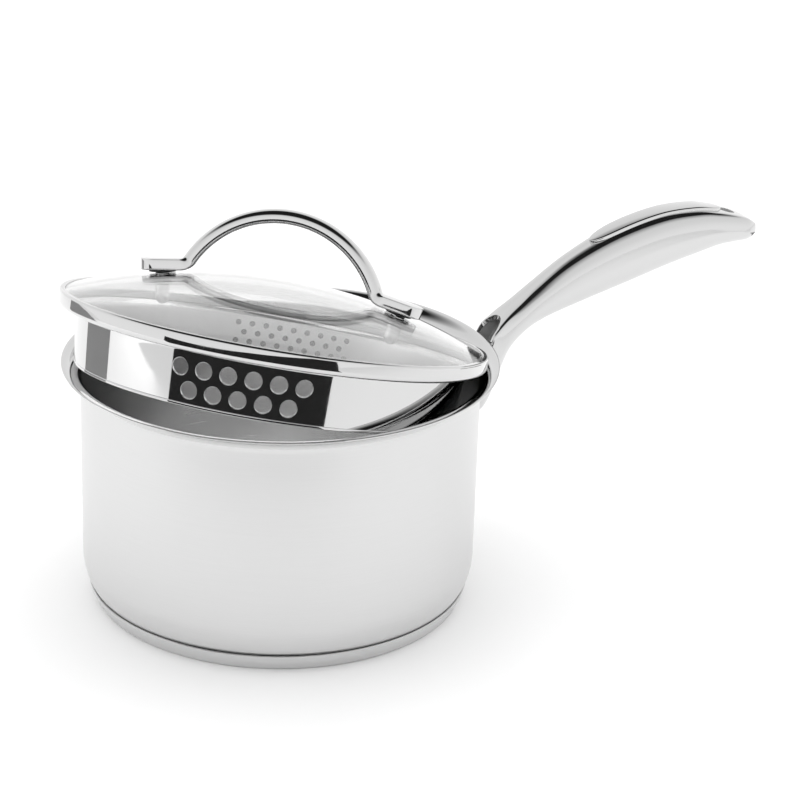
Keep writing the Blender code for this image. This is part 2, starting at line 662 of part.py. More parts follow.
def bow_section(row, index, last):
    """Crowned cross-section of the lid handle at one point of its path."""
    reach, height, angle = row
    settle = min(1.0, max(0.0, (index - BOW_STEPS) / BEND_STEPS))
    thick = ARCH_THICKNESS + (FOOT_THICKNESS - ARCH_THICKNESS) * settle
    width = ARCH_WIDTH + (FOOT_WIDTH - ARCH_WIDTH) * settle
    past_start = index - (last - len(FOOT_ANGLES)) - 1
    if past_start >= 0:
        width *= math.cos(math.radians(FOOT_ANGLES[past_start]))
    right = []
    for (bow_side, bow_up), (foot_side, foot_up) in zip(BOW_SHAPE, FOOT_SHAPE):
        side = bow_side + (foot_side - bow_side) * settle
        up = bow_up + (foot_up - bow_up) * settle
        right.append((side * width / 2, (up - 0.5) * thick))
    left = [(-side, up) for side, up in reversed(right)]
    out_x = math.cos(angle)
    out_z = math.sin(angle)
    return [Vector((reach + up * out_x, side, height + up * out_z)) for side, up in right + left]


def make_lid_handle(steel, lid):
    """Bowed handle with a flat foot at each end, each drilled from below for its stud."""
    rows = bow_path()
    last = len(rows) - 1
    half = [bow_section(row, index, last) for index, row in enumerate(rows)]
    mirrored = [[Vector((-spot.x, spot.y, spot.z)) for spot in loop] for loop in half[:0:-1]]
    bow = finish("lid_handle", lofted(mirrored + half), steel, lid)
    radius = STUD_DIAMETER / 2 + STUD_FIT
    low = foot_underside() - 2.0
    high = foot_underside() + STUD_IN_FOOT + GAP
    drill = [(0.0, low), (radius, low), (radius, high), (0.0, high)]
    for tool in paired("foot_drill", drill, None, lid):
        combine(bow, tool, "DIFFERENCE")


def mouth_height(radius):
    """Height that a point of the lid rests at over the pan's mouth, or None where nothing holds it."""
    inner = LIP_REACH + PAN_WALL + SEAT_GAP
    if radius <= LIP_RADIUS - inner or radius > LIP_RADIUS + 0.3 * PAN_WALL + SEAT_GAP:
        return None
    across = max(0.0, LIP_RADIUS - radius)
    return LIP_CENTRE_Z + math.sqrt(inner ** 2 - across ** 2)


def lid_height(shift):
    """Lowest height of the lid's centre when it is moved this far away from its low side."""
    lean = math.radians(LID_LEAN)
    low_radius = BAND_RADIUS - BAND_TAPER
    profile = [(low_radius, -BAND_DEPTH), (low_radius, -BAND_DEPTH + HEM_HEIGHT)]
    profile += [(BAND_RADIUS - BAND_TAPER / 2, -BAND_DEPTH / 2), (BAND_RADIUS, BAND_TOP)]
    profile += [(BAND_RADIUS + 1.0, RIM_UNDER)]
    profile += arc(RIM_ROLL_RADIUS, RIM_UNDER + RIM_LOWER_ROUND, RIM_LOWER_ROUND, -90.0, 0.0, 6)
    highest = 0.0
    for radius, up in profile:
        for index in range(181):
            angle = math.radians(index)
            along = radius * math.cos(angle)
            across = radius * math.sin(angle)
            out = along * math.cos(lean) + up * math.sin(lean) - shift
            rise = up * math.cos(lean) - along * math.sin(lean)
            rest = mouth_height(math.hypot(out, across))
            if rest is not None:
                highest = max(highest, rest - rise)
    return highest


def place_lid():
    """Empty that holds the lid where it lies lowest in the pan's mouth at its lean."""
    shifts = [index * 0.1 for index in range(0, 161)]
    shift = min(shifts, key=lid_height)
    low_side = math.radians(LEAN_AZIMUTH)
    spot = (-shift * math.cos(low_side) * MM, -shift * math.sin(low_side) * MM, lid_height(shift) * MM)
    axis = Vector((-math.sin(low_side), math.cos(low_side), 0.0))
    lean = Matrix.Rotation(math.radians(LID_LEAN), 4, axis)
    lid = bpy.data.objects.new("lid_frame", None)
    bpy.context.collection.objects.link(lid)
    lid.matrix_world = Matrix.Translation(spot) @ lean @ Matrix.Rotation(math.radians(LID_TURN), 4, "Z")
    print("lid shift mm", round(shift, 2), "lid height mm", round(lid_height(shift), 2))
    return lid


def main():
    for old in list(bpy.data.objects):
        bpy.data.objects.remove(old)
    satin = material("satin_steel", (0.80, 0.79, 0.78), 0.30, 1.0)
    polished = material("polished_steel", (0.72, 0.72, 0.72), 0.08, 1.0)
    cast = material("polished_cast_steel", (0.70, 0.70, 0.69), 0.12, 1.0)
    pressed = material("bracket_steel", (0.55, 0.54, 0.53), 0.35, 1.0)
    core = material("aluminium_core", (0.75, 0.76, 0.77), 0.40, 1.0)
    glass = material("tempered_glass", (0.90, 0.95, 0.94), 0.02, 0.0, 0.3)
    silicone = material("clear_silicone", (0.82, 0.83, 0.82), 0.45, 0.0)
    rubber = material("black_silicone", (0.03, 0.03, 0.03), 0.50, 0.0)

    make_pan(satin, core)
    make_bracket(pressed)
    make_handle(cast)
    lid = place_lid()
    make_band(polished, lid)
    make_glass(glass, silicone, lid)
    make_fixings(polished, rubber, silicone, lid)
    make_lid_handle(polished, lid)


main()
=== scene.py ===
import math

import bmesh
import bpy
from mathutils import Matrix, Vector


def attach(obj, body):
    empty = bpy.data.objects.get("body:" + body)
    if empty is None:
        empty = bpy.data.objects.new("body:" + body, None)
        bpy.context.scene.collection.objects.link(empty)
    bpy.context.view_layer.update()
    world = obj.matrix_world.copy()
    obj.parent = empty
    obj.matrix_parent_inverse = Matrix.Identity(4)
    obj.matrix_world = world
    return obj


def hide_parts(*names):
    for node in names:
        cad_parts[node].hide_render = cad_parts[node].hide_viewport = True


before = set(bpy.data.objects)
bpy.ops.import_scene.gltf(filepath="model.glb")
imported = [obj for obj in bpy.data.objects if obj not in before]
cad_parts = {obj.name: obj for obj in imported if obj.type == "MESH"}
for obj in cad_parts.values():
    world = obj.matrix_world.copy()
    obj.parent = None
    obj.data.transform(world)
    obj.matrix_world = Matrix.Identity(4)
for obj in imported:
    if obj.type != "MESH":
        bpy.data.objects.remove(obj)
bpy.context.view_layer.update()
mm = 0.001


# small helpers that every piece shares

def hexColour(text):  # sRGB hex to the linear values that the shaders take
    values = [int(text[i:i + 2], 16) / 255 for i in (1, 3, 5)]
    linear = [v / 12.92 if v <= 0.04045 else ((v + 0.055) / 1.055) ** 2.4 for v in values]
    return (*linear, 1.0)


def addObject(name, data):
    made = bpy.data.objects.new(name, data)
    bpy.context.scene.collection.objects.link(made)
    return made


def linkTo(tree, node, links):  # a node given as a source stands for its first output
    for socket, source in links.items():
        if isinstance(source, bpy.types.Node):
            source = source.outputs[0]
        tree.links.new(source, node.inputs[socket])


def addNode(tree, kind, values=None, links=None, **settings):
    node = tree.nodes.new(kind)
    for name, setting in settings.items():
        setattr(node, name, setting)
    for socket, value in (values or {}).items():
        node.inputs[socket].default_value = value
    linkTo(tree, node, links or {})
    return node


def newTree(name, inputs):  # a geometry tree with one geometry in, one out, and named sizes
    tree = bpy.data.node_groups.new(name, "GeometryNodeTree")
    tree.is_modifier = True
    tree.interface.new_socket("Geometry", in_out="INPUT", socket_type="NodeSocketGeometry")
    tree.interface.new_socket("Geometry", in_out="OUTPUT", socket_type="NodeSocketGeometry")
    for label, kind in inputs.items():
        tree.interface.new_socket(label, in_out="INPUT", socket_type="NodeSocket" + kind)
    return tree, tree.nodes.new("NodeGroupInput").outputs


def endTree(tree, geometry, finish):  # real geometry in one finish, for the export
    real = addNode(tree, "GeometryNodeRealizeInstances", links={0: geometry})
    dressed = addNode(tree, "GeometryNodeSetMaterial", links={"Geometry": real, "Material": finish})
    addNode(tree, "NodeGroupOutput", links={0: dressed})
    return tree


def evaluated(holder):  # the object's mesh with its modifiers applied
    graph = bpy.context.evaluated_depsgraph_get()
    return bpy.data.meshes.new_from_object(holder.evaluated_get(graph), depsgraph=graph)


def runTree(tree, mesh, values):  # the tree's result on a mesh, as a plain mesh
    holder = addObject("holder", mesh)
    modifier = holder.modifiers.new("shape", "NODES")
    modifier.node_group = tree
    for item in tree.interface.items_tree:
        if item.item_type == "SOCKET" and item.in_out == "INPUT" and item.name in values:
            modifier[item.identifier] = values[item.name]
    bpy.context.view_layer.update()
    result = evaluated(holder)
    holder.modifiers.remove(modifier)
    bpy.data.objects.remove(holder)
    return result


def cutWith(mesh, tools, operation="DIFFERENCE"):  # Booleans on plain meshes
    holder = addObject("holder", mesh)
    helpers = [addObject("tool", tool) for tool in tools]
    for helper in helpers:
        step = holder.modifiers.new("cut", "BOOLEAN")
        step.operation = operation
        step.solver = "EXACT"
        step.object = helper
    result = evaluated(holder)
    for made in [holder] + helpers:
        bpy.data.objects.remove(made)
    return result


def tidyMesh(mesh, sharp=35.0):  # outward faces, smooth but for real edges
    bm = bmesh.new()
    bm.from_mesh(mesh)
    bmesh.ops.remove_doubles(bm, verts=bm.verts, dist=1e-7)
    bmesh.ops.dissolve_degenerate(bm, edges=bm.edges, dist=1e-8)
    bmesh.ops.recalc_face_normals(bm, faces=bm.faces)
    bm.to_mesh(mesh)
    bm.free()
    mesh.shade_smooth()
    mesh.set_sharp_from_angle(angle=math.radians(sharp))
    return mesh


def meshOf(bm, sharp=35.0):
    mesh = bpy.data.meshes.new("made")
    bm.to_mesh(mesh)
    bm.free()
    return tidyMesh(mesh, sharp)


def placePiece(name, mesh, body, replaced):
    mesh.name = name
    piece = addObject(name, mesh)
    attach(piece, body)
    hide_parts(*replaced)


def arcPoints(centreX, centreZ, radius, start, end, count):  # degrees from the first axis
    angles = [math.radians(start + (end - start) * i / count) for i in range(count + 1)]
    return [(centreX + radius * math.cos(a), centreZ + radius * math.sin(a)) for a in angles]


def joinRows(bm, near, far, slot=0):  # quads between two equal loops
    for i in range(len(near)):
        after = (i + 1) % len(near)
        bm.faces.new((near[i], near[after], far[after], far[i])).material_index = slot


def skinned(loops):  # quads along a row of equal loops of points, closed at both ends
    bm = bmesh.new()
    rows = [[bm.verts.new(point) for point in loop] for loop in loops]
    for near, far in zip(rows, rows[1:]):
        joinRows(bm, near, far)
    bm.faces.new(rows[0])
    bm.faces.new(rows[-1])
    return bm


def smoothCurve(rows, steps):  # a smooth line of values through the given ones
    smooth = []
    for i in range(len(rows) - 1):
        before, start, end = rows[max(i - 1, 0)], rows[i], rows[i + 1]
        after = rows[min(i + 2, len(rows) - 1)]
        for step in range(steps):
            t = step / steps
            atStart, atEnd = 2 * t ** 3 - 3 * t ** 2 + 1, 3 * t ** 2 - 2 * t ** 3
            leaving, arriving = t ** 3 - 2 * t ** 2 + t, t ** 3 - t ** 2
            smooth.append(tuple(
                atStart * s + leaving * (e - b) / 2 + atEnd * e + arriving * (a - s) / 2
                for b, s, e, a in zip(before, start, end, after)))
    smooth.append(tuple(rows[-1]))
    return smooth


def latheTree():  # sweeps a profile round the Z axis, as a spinning lathe shapes a pan
    tree, size = newTree("turnedOnLathe", {
        "Steps": "Int", "Guide Radius": "Float", "Finish": "Material"})
    inward = addNode(tree, "ShaderNodeMath", {0: 0.0}, {1: size["Guide Radius"]}, operation="SUBTRACT")
    shift = addNode(tree, "ShaderNodeCombineXYZ", links={0: inward})
    upright = addNode(tree, "GeometryNodeTransform", {"Rotation": (math.pi / 2, 0.0, 0.0)},
                      {"Geometry": size["Geometry"], "Translation": shift})
    profile = addNode(tree, "GeometryNodeMeshToCurve", links={"Mesh": upright})
    circle = addNode(tree, "GeometryNodeCurvePrimitiveCircle",
                     links={"Resolution": size["Steps"], "Radius": size["Guide Radius"]})
    swept = addNode(tree, "GeometryNodeCurveToMesh", links={"Curve": circle, "Profile Curve": profile})
    welded = addNode(tree, "GeometryNodeMergeByDistance", {"Distance": 1e-6}, {"Geometry": swept})
    return endTree(tree, welded, size["Finish"])


turning = latheTree()


def turned(points, finish, steps, closed=False):  # a line of radius and height in mm, turned
    profile = bpy.data.meshes.new("profile")
    edges = [(i, i + 1) for i in range(len(points) - 1)]
    if closed:
        edges.append((len(points) - 1, 0))
    profile.from_pydata([(x * mm, 0.0, z * mm) for x, z in points], edges, [])
    sizes = {"Steps": steps, "Guide Radius": 0.1, "Finish": finishes[finish]}
    return tidyMesh(runTree(turning, profile, sizes))


def facingOut(face):  # above 0 where a face of a turned piece looks away from the axis
    return face.center.x * face.normal.x + face.center.y * face.normal.y


def punchTree():  # one row of punches round the band, square to its sloping face
    tree, size = newTree("rowOfPunches", {
        "Holes": "Int", "Pitch": "Float", "Row Height": "Float", "Row Radius": "Float",
        "Middle Angle": "Float", "Droop": "Float", "Finish": "Material"})
    last = addNode(tree, "ShaderNodeMath", {1: 1.0}, {0: size["Holes"]}, operation="SUBTRACT")
    half = addNode(tree, "ShaderNodeMath", {1: 0.5}, {0: last}, operation="MULTIPLY")
    line = addNode(tree, "GeometryNodeMeshLine", links={"Count": size["Holes"]})
    index = addNode(tree, "GeometryNodeInputIndex")
    place = addNode(tree, "ShaderNodeMath", links={0: index, 1: half}, operation="SUBTRACT")
    step = addNode(tree, "ShaderNodeMath", links={0: size["Pitch"], 1: size["Row Radius"]},
                   operation="DIVIDE")
    angle = addNode(tree, "ShaderNodeMath", links={0: place, 1: step, 2: size["Middle Angle"]},
                    operation="MULTIPLY_ADD")
    cosine = addNode(tree, "ShaderNodeMath", links={0: angle}, operation="COSINE")
    sine = addNode(tree, "ShaderNodeMath", links={0: angle}, operation="SINE")
    outward = addNode(tree, "ShaderNodeCombineXYZ", links={0: cosine, 1: sine})
    reach = addNode(tree, "ShaderNodeVectorMath", links={0: outward, "Scale": size["Row Radius"]},
                    operation="SCALE")
    lift = addNode(tree, "ShaderNodeCombineXYZ", links={2: size["Row Height"]})
    spot = addNode(tree, "ShaderNodeVectorMath", links={0: reach, 1: lift}, operation="ADD")
    row = addNode(tree, "GeometryNodeSetPosition", links={"Geometry": line, "Position": spot})
    facing = addNode(tree, "ShaderNodeCombineXYZ", links={0: cosine, 1: sine, 2: size["Droop"]})
    aim = addNode(tree, "FunctionNodeAlignRotationToVector", links={"Vector": facing}, axis="Z")
    punches = addNode(tree, "GeometryNodeInstanceOnPoints",
                      links={"Points": row, "Instance": size["Geometry"], "Rotation": aim})
    return endTree(tree, punches, size["Finish"])


def fixingTree():  # the same small fixing at both studs of the lid's handle
    tree, size = newTree("pairOfFixings", {
        "Spread": "Float", "Height": "Float", "Lean": "Float", "Finish": "Material"})
    half = addNode(tree, "ShaderNodeMath", {1: 0.5}, {0: size["Spread"]}, operation="MULTIPLY")
    line = addNode(tree, "GeometryNodeMeshLine", {"Count": 2})
    index = addNode(tree, "GeometryNodeInputIndex")
    side = addNode(tree, "ShaderNodeMath", {1: 2.0, 2: -1.0}, {0: index}, operation="MULTIPLY_ADD")
    along = addNode(tree, "ShaderNodeMath", links={0: side, 1: half}, operation="MULTIPLY")
    spot = addNode(tree, "ShaderNodeCombineXYZ", links={0: along, 2: size["Height"]})
    ends = addNode(tree, "GeometryNodeSetPosition", links={"Geometry": line, "Position": spot})
    lean = addNode(tree, "ShaderNodeMath", links={0: side, 1: size["Lean"]}, operation="MULTIPLY")
    tilt = addNode(tree, "ShaderNodeCombineXYZ", links={1: lean})
    pair = addNode(tree, "GeometryNodeInstanceOnPoints",
                   links={"Points": ends, "Instance": size["Geometry"], "Rotation": tilt})
    return endTree(tree, pair, size["Finish"])


def newMaterial(name, values):
    material = bpy.data.materials.new(name)
    material.use_nodes = True
    tree = material.node_tree
    shader = tree.nodes["Principled BSDF"]
    for socket, value in values.items():
        shader.inputs[socket].default_value = value
    place = addNode(tree, "ShaderNodeTexCoord").outputs["Object"]
    return material, tree, shader, place


# steel brushed in rings: streaks of light stand across the lines. Real lines are about
# 0.1 mm apart, and these are drawn coarser so that they show
def brushedSteel(name, settings):
    material, tree, shader, place = newMaterial(name, {
        "Metallic": 1.0, "Anisotropic": settings["anisotropy"]})
    parts = addNode(tree, "ShaderNodeSeparateXYZ", links={0: place})
    flat = addNode(tree, "ShaderNodeCombineXYZ", links={0: parts.outputs[0], 1: parts.outputs[1]})
    radius = addNode(tree, "ShaderNodeVectorMath", links={0: flat}, operation="LENGTH")
    across = addNode(tree, "ShaderNodeMath", links={0: radius.outputs["Value"], 1: parts.outputs[2]},
                     operation="ADD")
    fine = addNode(tree, "ShaderNodeMath", {1: 1.0 / settings["lineSpacing"]}, {0: across},
                   operation="MULTIPLY")
    slow = addNode(tree, "ShaderNodeVectorMath", {"Scale": 1.0 / settings["lineLength"]}, {0: flat},
                   operation="SCALE")
    spread = addNode(tree, "ShaderNodeSeparateXYZ", links={0: slow})
    lines = addNode(tree, "ShaderNodeCombineXYZ",
                    links={0: spread.outputs[0], 1: spread.outputs[1], 2: fine})
    grain = addNode(tree, "ShaderNodeTexNoise", {"Scale": 1.0, "Detail": 3.0, "Roughness": 0.6},
                    {"Vector": lines})
    clouds = addNode(tree, "ShaderNodeTexNoise", {"Scale": 14.0, "Detail": 2.0}, {"Vector": place})
    both = addNode(tree, "ShaderNodeMath", {1: 0.35}, {0: clouds, 2: grain}, operation="MULTIPLY_ADD")
    low, high = settings["roughnessRange"]
    rough = addNode(tree, "ShaderNodeMapRange", {
        "From Min": 0.35, "From Max": 1.0, "To Min": low, "To Max": high}, {"Value": both})
    tone = addNode(tree, "ShaderNodeMix", {
        6: hexColour(settings["dark"]), 7: hexColour(settings["colour"])}, {0: grain}, data_type="RGBA")
    bump = addNode(tree, "ShaderNodeBump", {"Strength": settings["bump"], "Distance": 0.00003},
                   {"Height": grain})
    tangent = addNode(tree, "ShaderNodeTangent", direction_type="RADIAL", axis="Z")
    linkTo(tree, shader, {
        "Roughness": rough, "Base Color": tone.outputs[2], "Normal": bump, "Tangent": tangent})
    return material


def polishedSteel(name, settings):  # buffed stainless: clear mirror images that waver a little
    material, tree, shader, place = newMaterial(name, {
        "Metallic": 1.0, "Base Color": hexColour(settings["colour"])})
    smears = addNode(tree, "ShaderNodeTexNoise", {
        "Scale": 1.0 / settings["smearSize"], "Detail": 4.0, "Distortion": 0.6}, {"Vector": place})
    low, high = settings["roughnessRange"]
    rough = addNode(tree, "ShaderNodeMapRange", {
        "From Min": 0.42, "From Max": 0.75, "To Min": low, "To Max": high}, {"Value": smears})
    waves = addNode(tree, "ShaderNodeTexNoise", {"Scale": 1.0 / settings["waveSize"], "Detail": 1.0},
                    {"Vector": place})
    bump = addNode(tree, "ShaderNodeBump", {"Strength": settings["bump"], "Distance": 0.0002},
                   {"Height": waves})
    linkTo(tree, shader, {"Roughness": rough, "Normal": bump})
    return material


def speckled(name, settings):  # plain surfaces: a fine grain in tone and gloss
    material, tree, shader, place = newMaterial(name, {
        "Metallic": settings.get("metallic", 0.0), "IOR": settings.get("ior", 1.5),
        "Transmission Weight": settings.get("clearness", 0.0)})
    grain = addNode(tree, "ShaderNodeTexNoise", {"Scale": 1.0 / settings["grain"], "Detail": 3.0},
                    {"Vector": place})
    low, high = settings["roughnessRange"]
    rough = addNode(tree, "ShaderNodeMapRange", {
        "From Min": 0.3, "From Max": 0.7, "To Min": low, "To Max": high}, {"Value": grain})
    tone = addNode(tree, "ShaderNodeMix", {
        6: hexColour(settings["dark"]), 7: hexColour(settings["colour"])}, {0: grain}, data_type="RGBA")
    bump = addNode(tree, "ShaderNodeBump", {"Strength": settings["bump"], "Distance": 0.0001},
                   {"Height": grain})
    linkTo(tree, shader, {"Roughness": rough, "Base Color": tone.outputs[2], "Normal": bump})
    return material


finishes = {
    # spun stainless sheet, satin brushed round the wall: pale, soft, without clear images
    "satin": brushedSteel("satinStainlessSteel", {
        "colour": "#DADADA", "dark": "#D5D5D5", "roughnessRange": (0.27, 0.33), "anisotropy": 0.4,
        "lineSpacing": 0.0006, "lineLength": 0.03, "bump": 0.02}),
    # inside of the pan, brushed by the same wheel: a little glossier; its tone is painted paler than the
    # outside of the same sheet, as painted light that brightens the shaded hollow
    "inside": brushedSteel("brushedInsideSteelPaintedLight", {
        "colour": "#F0F0F0", "dark": "#E8E8E8", "roughnessRange": (0.2, 0.28), "anisotropy": 0.85,
        "lineSpacing": 0.0007, "lineLength": 0.03, "bump": 0.03}),
    # inside of the band, which isn't buffed: soft light without images; its tone is painted paler than the
    # buffed outside, as painted light that brightens the shaded hollow under the glass
    "bandInside": brushedSteel("satinBandInsidePaintedLight", {
        "colour": "#E0E0E0", "dark": "#DADADA", "roughnessRange": (0.32, 0.4), "anisotropy": 0.3,
        "lineSpacing": 0.0006, "lineLength": 0.03, "bump": 0.02}),
    # buffed stainless sheet: a mirror with faint smears
    "mirror": polishedSteel("polishedStainlessSteel", {
        "colour": "#D2D2D2", "roughnessRange": (0.025, 0.075), "smearSize": 0.02, "waveSize": 0.03,
        "bump": 0.04}),
    # cast stainless, buffed by hand: a mirror over a slightly uneven skin
    "cast": polishedSteel("polishedCastSteel", {
        "colour": "#D2D2D2", "roughnessRange": (0.04, 0.1), "smearSize": 0.012, "waveSize": 0.018,
        "bump": 0.08}),
    # inside of the casting, as it left the mould: grey, dull and a little grainy
    "asCast": speckled("steelAsCast", {
        "colour": "#C8C8C8", "dark": "#B4B4B4", "metallic": 0.2, "roughnessRange": (0.5, 0.62),
        "grain": 0.0014, "bump": 0.3}),
    # turned nuts, bead-blasted: light grey and soft
    "nut": speckled("blastedNutSteel", {
        "colour": "#D6D6D6", "dark": "#CACACA", "metallic": 1.0, "roughnessRange": (0.28, 0.38),
        "grain": 0.0008, "bump": 0.05}),
    # pressed bracket sheet as it leaves the die: grey and half dull
    "pressed": speckled("pressedSteelSheet", {
        "colour": "#BDBCBA", "dark": "#A9A8A6", "metallic": 1.0, "roughnessRange": (0.3, 0.42),
        "grain": 0.0008, "bump": 0.1}),
    # aluminium disc, sawn and pressed: pale grey with a dull grain
    "core": speckled("sawnAluminium", {
        "colour": "#DCDDDE", "dark": "#C9CACC", "metallic": 1.0, "roughnessRange": (0.36, 0.5),
        "grain": 0.001, "bump": 0.2}),
    # tempered low-iron glass: clear and colourless
    "glass": speckled("temperedGlass", {
        "colour": "#FDFDFD", "dark": "#FBFBFB", "clearness": 1.0, "ior": 1.52,
        "roughnessRange": (0.0, 0.006), "grain": 0.03, "bump": 0.0}),
    # platinum-cured silicone, milky and clear: light goes a little way in
    "milky": speckled("milkySilicone", {
        "colour": "#F1F2F1", "dark": "#E6E8E7", "clearness": 0.55, "ior": 1.41,
        "roughnessRange": (0.3, 0.42), "grain": 0.0012, "bump": 0.05}),
    # moulded black silicone: deep grey with a soft sheen
    "black": speckled("blackSilicone", {
        "colour": "#262626", "dark": "#1B1B1B", "ior": 1.41, "roughnessRange": (0.4, 0.55),
        "grain": 0.0006, "bump": 0.1}),
}
print("finishes made:", len(finishes))


# pan: spun body, and the cap under it that hides the heat disc

pan = {
    "radius": 100.0, "height": 125.8, "wall": 1.0, "lipReach": 8.8, "cornerRadius": 30.0,
    "cornerSweep": 29.0, "heelRadius": 3.0, "floorUnder": 7.5, "steps": 256,
    "wallRings": 12,  # up the straight wall, so that it shades evenly
    "floorRings": (0.0, 25.0, 50.0, 75.0), "capRings": (0.0, 30.0, 60.0),
    "lipPolish": 0.72,  # share of the lip, from its top, that is buffed
    "capSheet": 1.0, "capHeight": 8.8, "capRim": 0.8, "capFit": 0.3, "capTuck": 5.0, "capRound": 2.0,
    "capEdge": 0.25,
}


def cornerTop():  # height at which the slow curve of the foot has become the straight wall
    sweep = math.sin(math.radians(pan["cornerSweep"]))
    return pan["floorUnder"] + pan["heelRadius"] * (1 - sweep) + pan["cornerRadius"] * sweep


def wallCurve(inset):  # floor to lip on one face of the sheet
    sweep, rings = pan["cornerSweep"], pan["wallRings"]
    heel, slow, lip = pan["heelRadius"], pan["cornerRadius"], pan["lipReach"]
    startZ = cornerTop()
    heelX = pan["radius"] - (slow - heel) * (1 - math.cos(math.radians(sweep))) - heel
    bellZ = pan["height"] - pan["wall"] - lip
    wallX = pan["radius"] - inset
    line = arcPoints(heelX, pan["floorUnder"] + heel, heel - inset, -90, -sweep, 10)
    line += arcPoints(pan["radius"] - slow, startZ, slow - inset, -sweep, 0, 10)[1:]
    line += [(wallX, startZ + (bellZ - startZ) * i / rings) for i in range(1, rings)]
    return line + arcPoints(pan["radius"] + lip, bellZ, lip + inset, 180, 90, 20)


def makePanBody():
    flat = [(x, pan["floorUnder"]) for x in pan["floorRings"]]
    outside = flat + wallCurve(0.0)
    inside = wallCurve(pan["wall"])
    tipX, outZ = outside[-1]
    half = pan["wall"] / 2
    tip = arcPoints(tipX, outZ + half, half, -60, 60, 6)
    floor = [(x, z + pan["wall"]) for x, z in reversed(flat)]
    mesh = turned(outside + tip + inside[::-1] + floor, "satin", pan["steps"])
    mesh.materials.append(finishes["inside"])
    mesh.materials.append(finishes["mirror"])
    lipZ = (pan["height"] - pan["wall"] - pan["lipReach"] * pan["lipPolish"]) * mm
    # the floor's top and the inner wall get the inside finish, whose paler tone is painted light for the
    # shaded hollow
    for face in mesh.polygons:
        above = face.normal.z > 0.9 and face.center.z > pan["floorUnder"] * mm
        if face.center.z > lipZ:
            face.material_index = 2
        elif above or facingOut(face) < 0:
            face.material_index = 1
    placePiece("panBody", mesh, "pan", ["pan_body"])


def makeBaseCap():
    top, tuck, low, edge = pan["capHeight"], pan["capTuck"], pan["capRound"], pan["capEdge"]
    drop = cornerTop() - top
    wallX = pan["radius"] - pan["cornerRadius"] + math.sqrt(pan["cornerRadius"] ** 2 - drop ** 2)
    inX = wallX + pan["capFit"]
    outX = inX + pan["capRim"]
    centreX = outX - tuck
    rise = top - low
    # the flank runs straight from the upper edge onto the lower edge's arc
    flank = math.degrees(math.atan2(rise, tuck) - math.acos(low / math.hypot(rise, tuck)))
    line = [(x, 0.0) for x in pan["capRings"]]
    line += arcPoints(centreX, low, low, -90, flank, 10)
    line += arcPoints(outX - edge, top - edge, edge, flank, 90, 4) + [(inX, top)]
    line += arcPoints(centreX, low, low - pan["capSheet"], flank, -90, 6)
    line += [(0.0, pan["capSheet"])]
    placePiece("baseCap", turned(line, "satin", pan["steps"]), "pan", ["base_cap"])


makePanBody()
makeBaseCap()
print("pan and base made")


# pan handle: hollow casting with an open root, a raised panel and a hole to hang it by

grip = {
    "wall": 2.2, "hollowEnd": 128.0, "steps": 6,
    "bracketFace": 102.2,  # radius of the bracket's outer face, with its gap
    "notchWidth": 17.0, "notchReach": 18.5, "notchFloor": -6.0, "notchTop": 22.0,
    "hole": 8.6, "holeReach": 147.0, "holeEdge": 0.9, "holeSides": 40,
    "holeSlope": 15.0,  # how far the crest falls there, in degrees
    "panelStart": 68.0, "panelEnd": 143.0, "panelWidth": 12.6, "panelRise": 1.8, "panelEdge": 0.9,
    "panelSteps": 44,
    # top reach and rise, bottom reach and rise, half width of the top, half width
    "stations": [
        (2.4, -10.3, 2.4, -40.3, 9.5, 12.6), (6.4, -6.7, 6.4, -40.3, 9.5, 12.6),
        (10.0, -0.6, 10.5, -35.5, 9.5, 12.3), (12.6, 3.8, 14.5, -26.0, 9.2, 11.9),
        (19.0, 10.0, 21.5, -8.8, 7.6, 10.8), (27.0, 16.3, 31.0, 1.4, 6.2, 10.2),
        (37.0, 24.4, 43.0, 7.8, 5.4, 10.0), (55.0, 37.4, 66.0, 15.4, 5.4, 10.5),
        (80.0, 50.0, 89.0, 22.8, 6.6, 12.0), (105.0, 57.3, 110.0, 29.8, 7.6, 12.7),
        (125.0, 58.8, 128.0, 34.9, 8.0, 12.7), (138.0, 57.3, 140.0, 38.2, 8.2, 12.3),
        (149.5, 54.8, 149.0, 39.2, 8.0, 11.6), (157.0, 52.1, 156.5, 39.6, 7.0, 10.2),
        (161.5, 49.3, 161.1, 40.7, 4.8, 7.2), (163.2, 47.9, 163.0, 42.0, 3.2, 4.8),
        (163.8, 46.2, 163.7, 43.6, 1.1, 1.8)],
}


def gripPoint(reach, rise, side=0.0):
    return Vector(((pan["radius"] + reach) * mm, side * mm, (pan["height"] + rise) * mm))


def gripSection(station, wall):  # crest, flank and keel, each smooth, with a crease between them
    topReach, topRise, lowReach, lowRise, topHalf, half = station
    top, low = gripPoint(topReach, topRise), gripPoint(lowReach, lowRise)
    depth = (top - low).length / mm
    crest = smoothCurve([(0.0, 0.0), (0.55 * topHalf, 0.0), (topHalf, 0.014)], 3)
    flank = smoothCurve([(topHalf, 0.014), (topHalf + 0.22 * (half - topHalf) + 0.5, 0.07),
                         (0.93 * half, 0.27), (half, 0.55)], 4)
    facet = smoothCurve([(half, 0.55), (0.89 * half, 0.75), (0.66 * half, 0.93), (0.3 * half, 1.0),
                         (0.0, 1.0)], 3)
    right = []
    for side, share in crest + flank[1:] + facet[1:]:
        along = 0.5 + (share - 0.5) * (1 - 2 * wall / depth)
        right.append(top.lerp(low, along) + Vector((0.0, side * (1 - wall / half) * mm, 0.0)))
    left = [Vector((p.x, -p.y, p.z)) for p in reversed(right[1:-1])]
    return right + left


def wrapRoot(loop):  # the root follows the bracket's round face
    radius = grip["bracketFace"] * mm
    return [Vector((math.sqrt(radius ** 2 - p.y ** 2), p.y, p.z)) for p in loop]


def crestAt(stations, reach):
    for near, far in zip(stations, stations[1:]):
        if near[0] <= reach <= far[0]:
            share = (reach - near[0]) / (far[0] - near[0])
            row = [a + (b - a) * share for a, b in zip(near, far)]
            return gripPoint(row[0], row[1]), gripPoint(row[2], row[3])


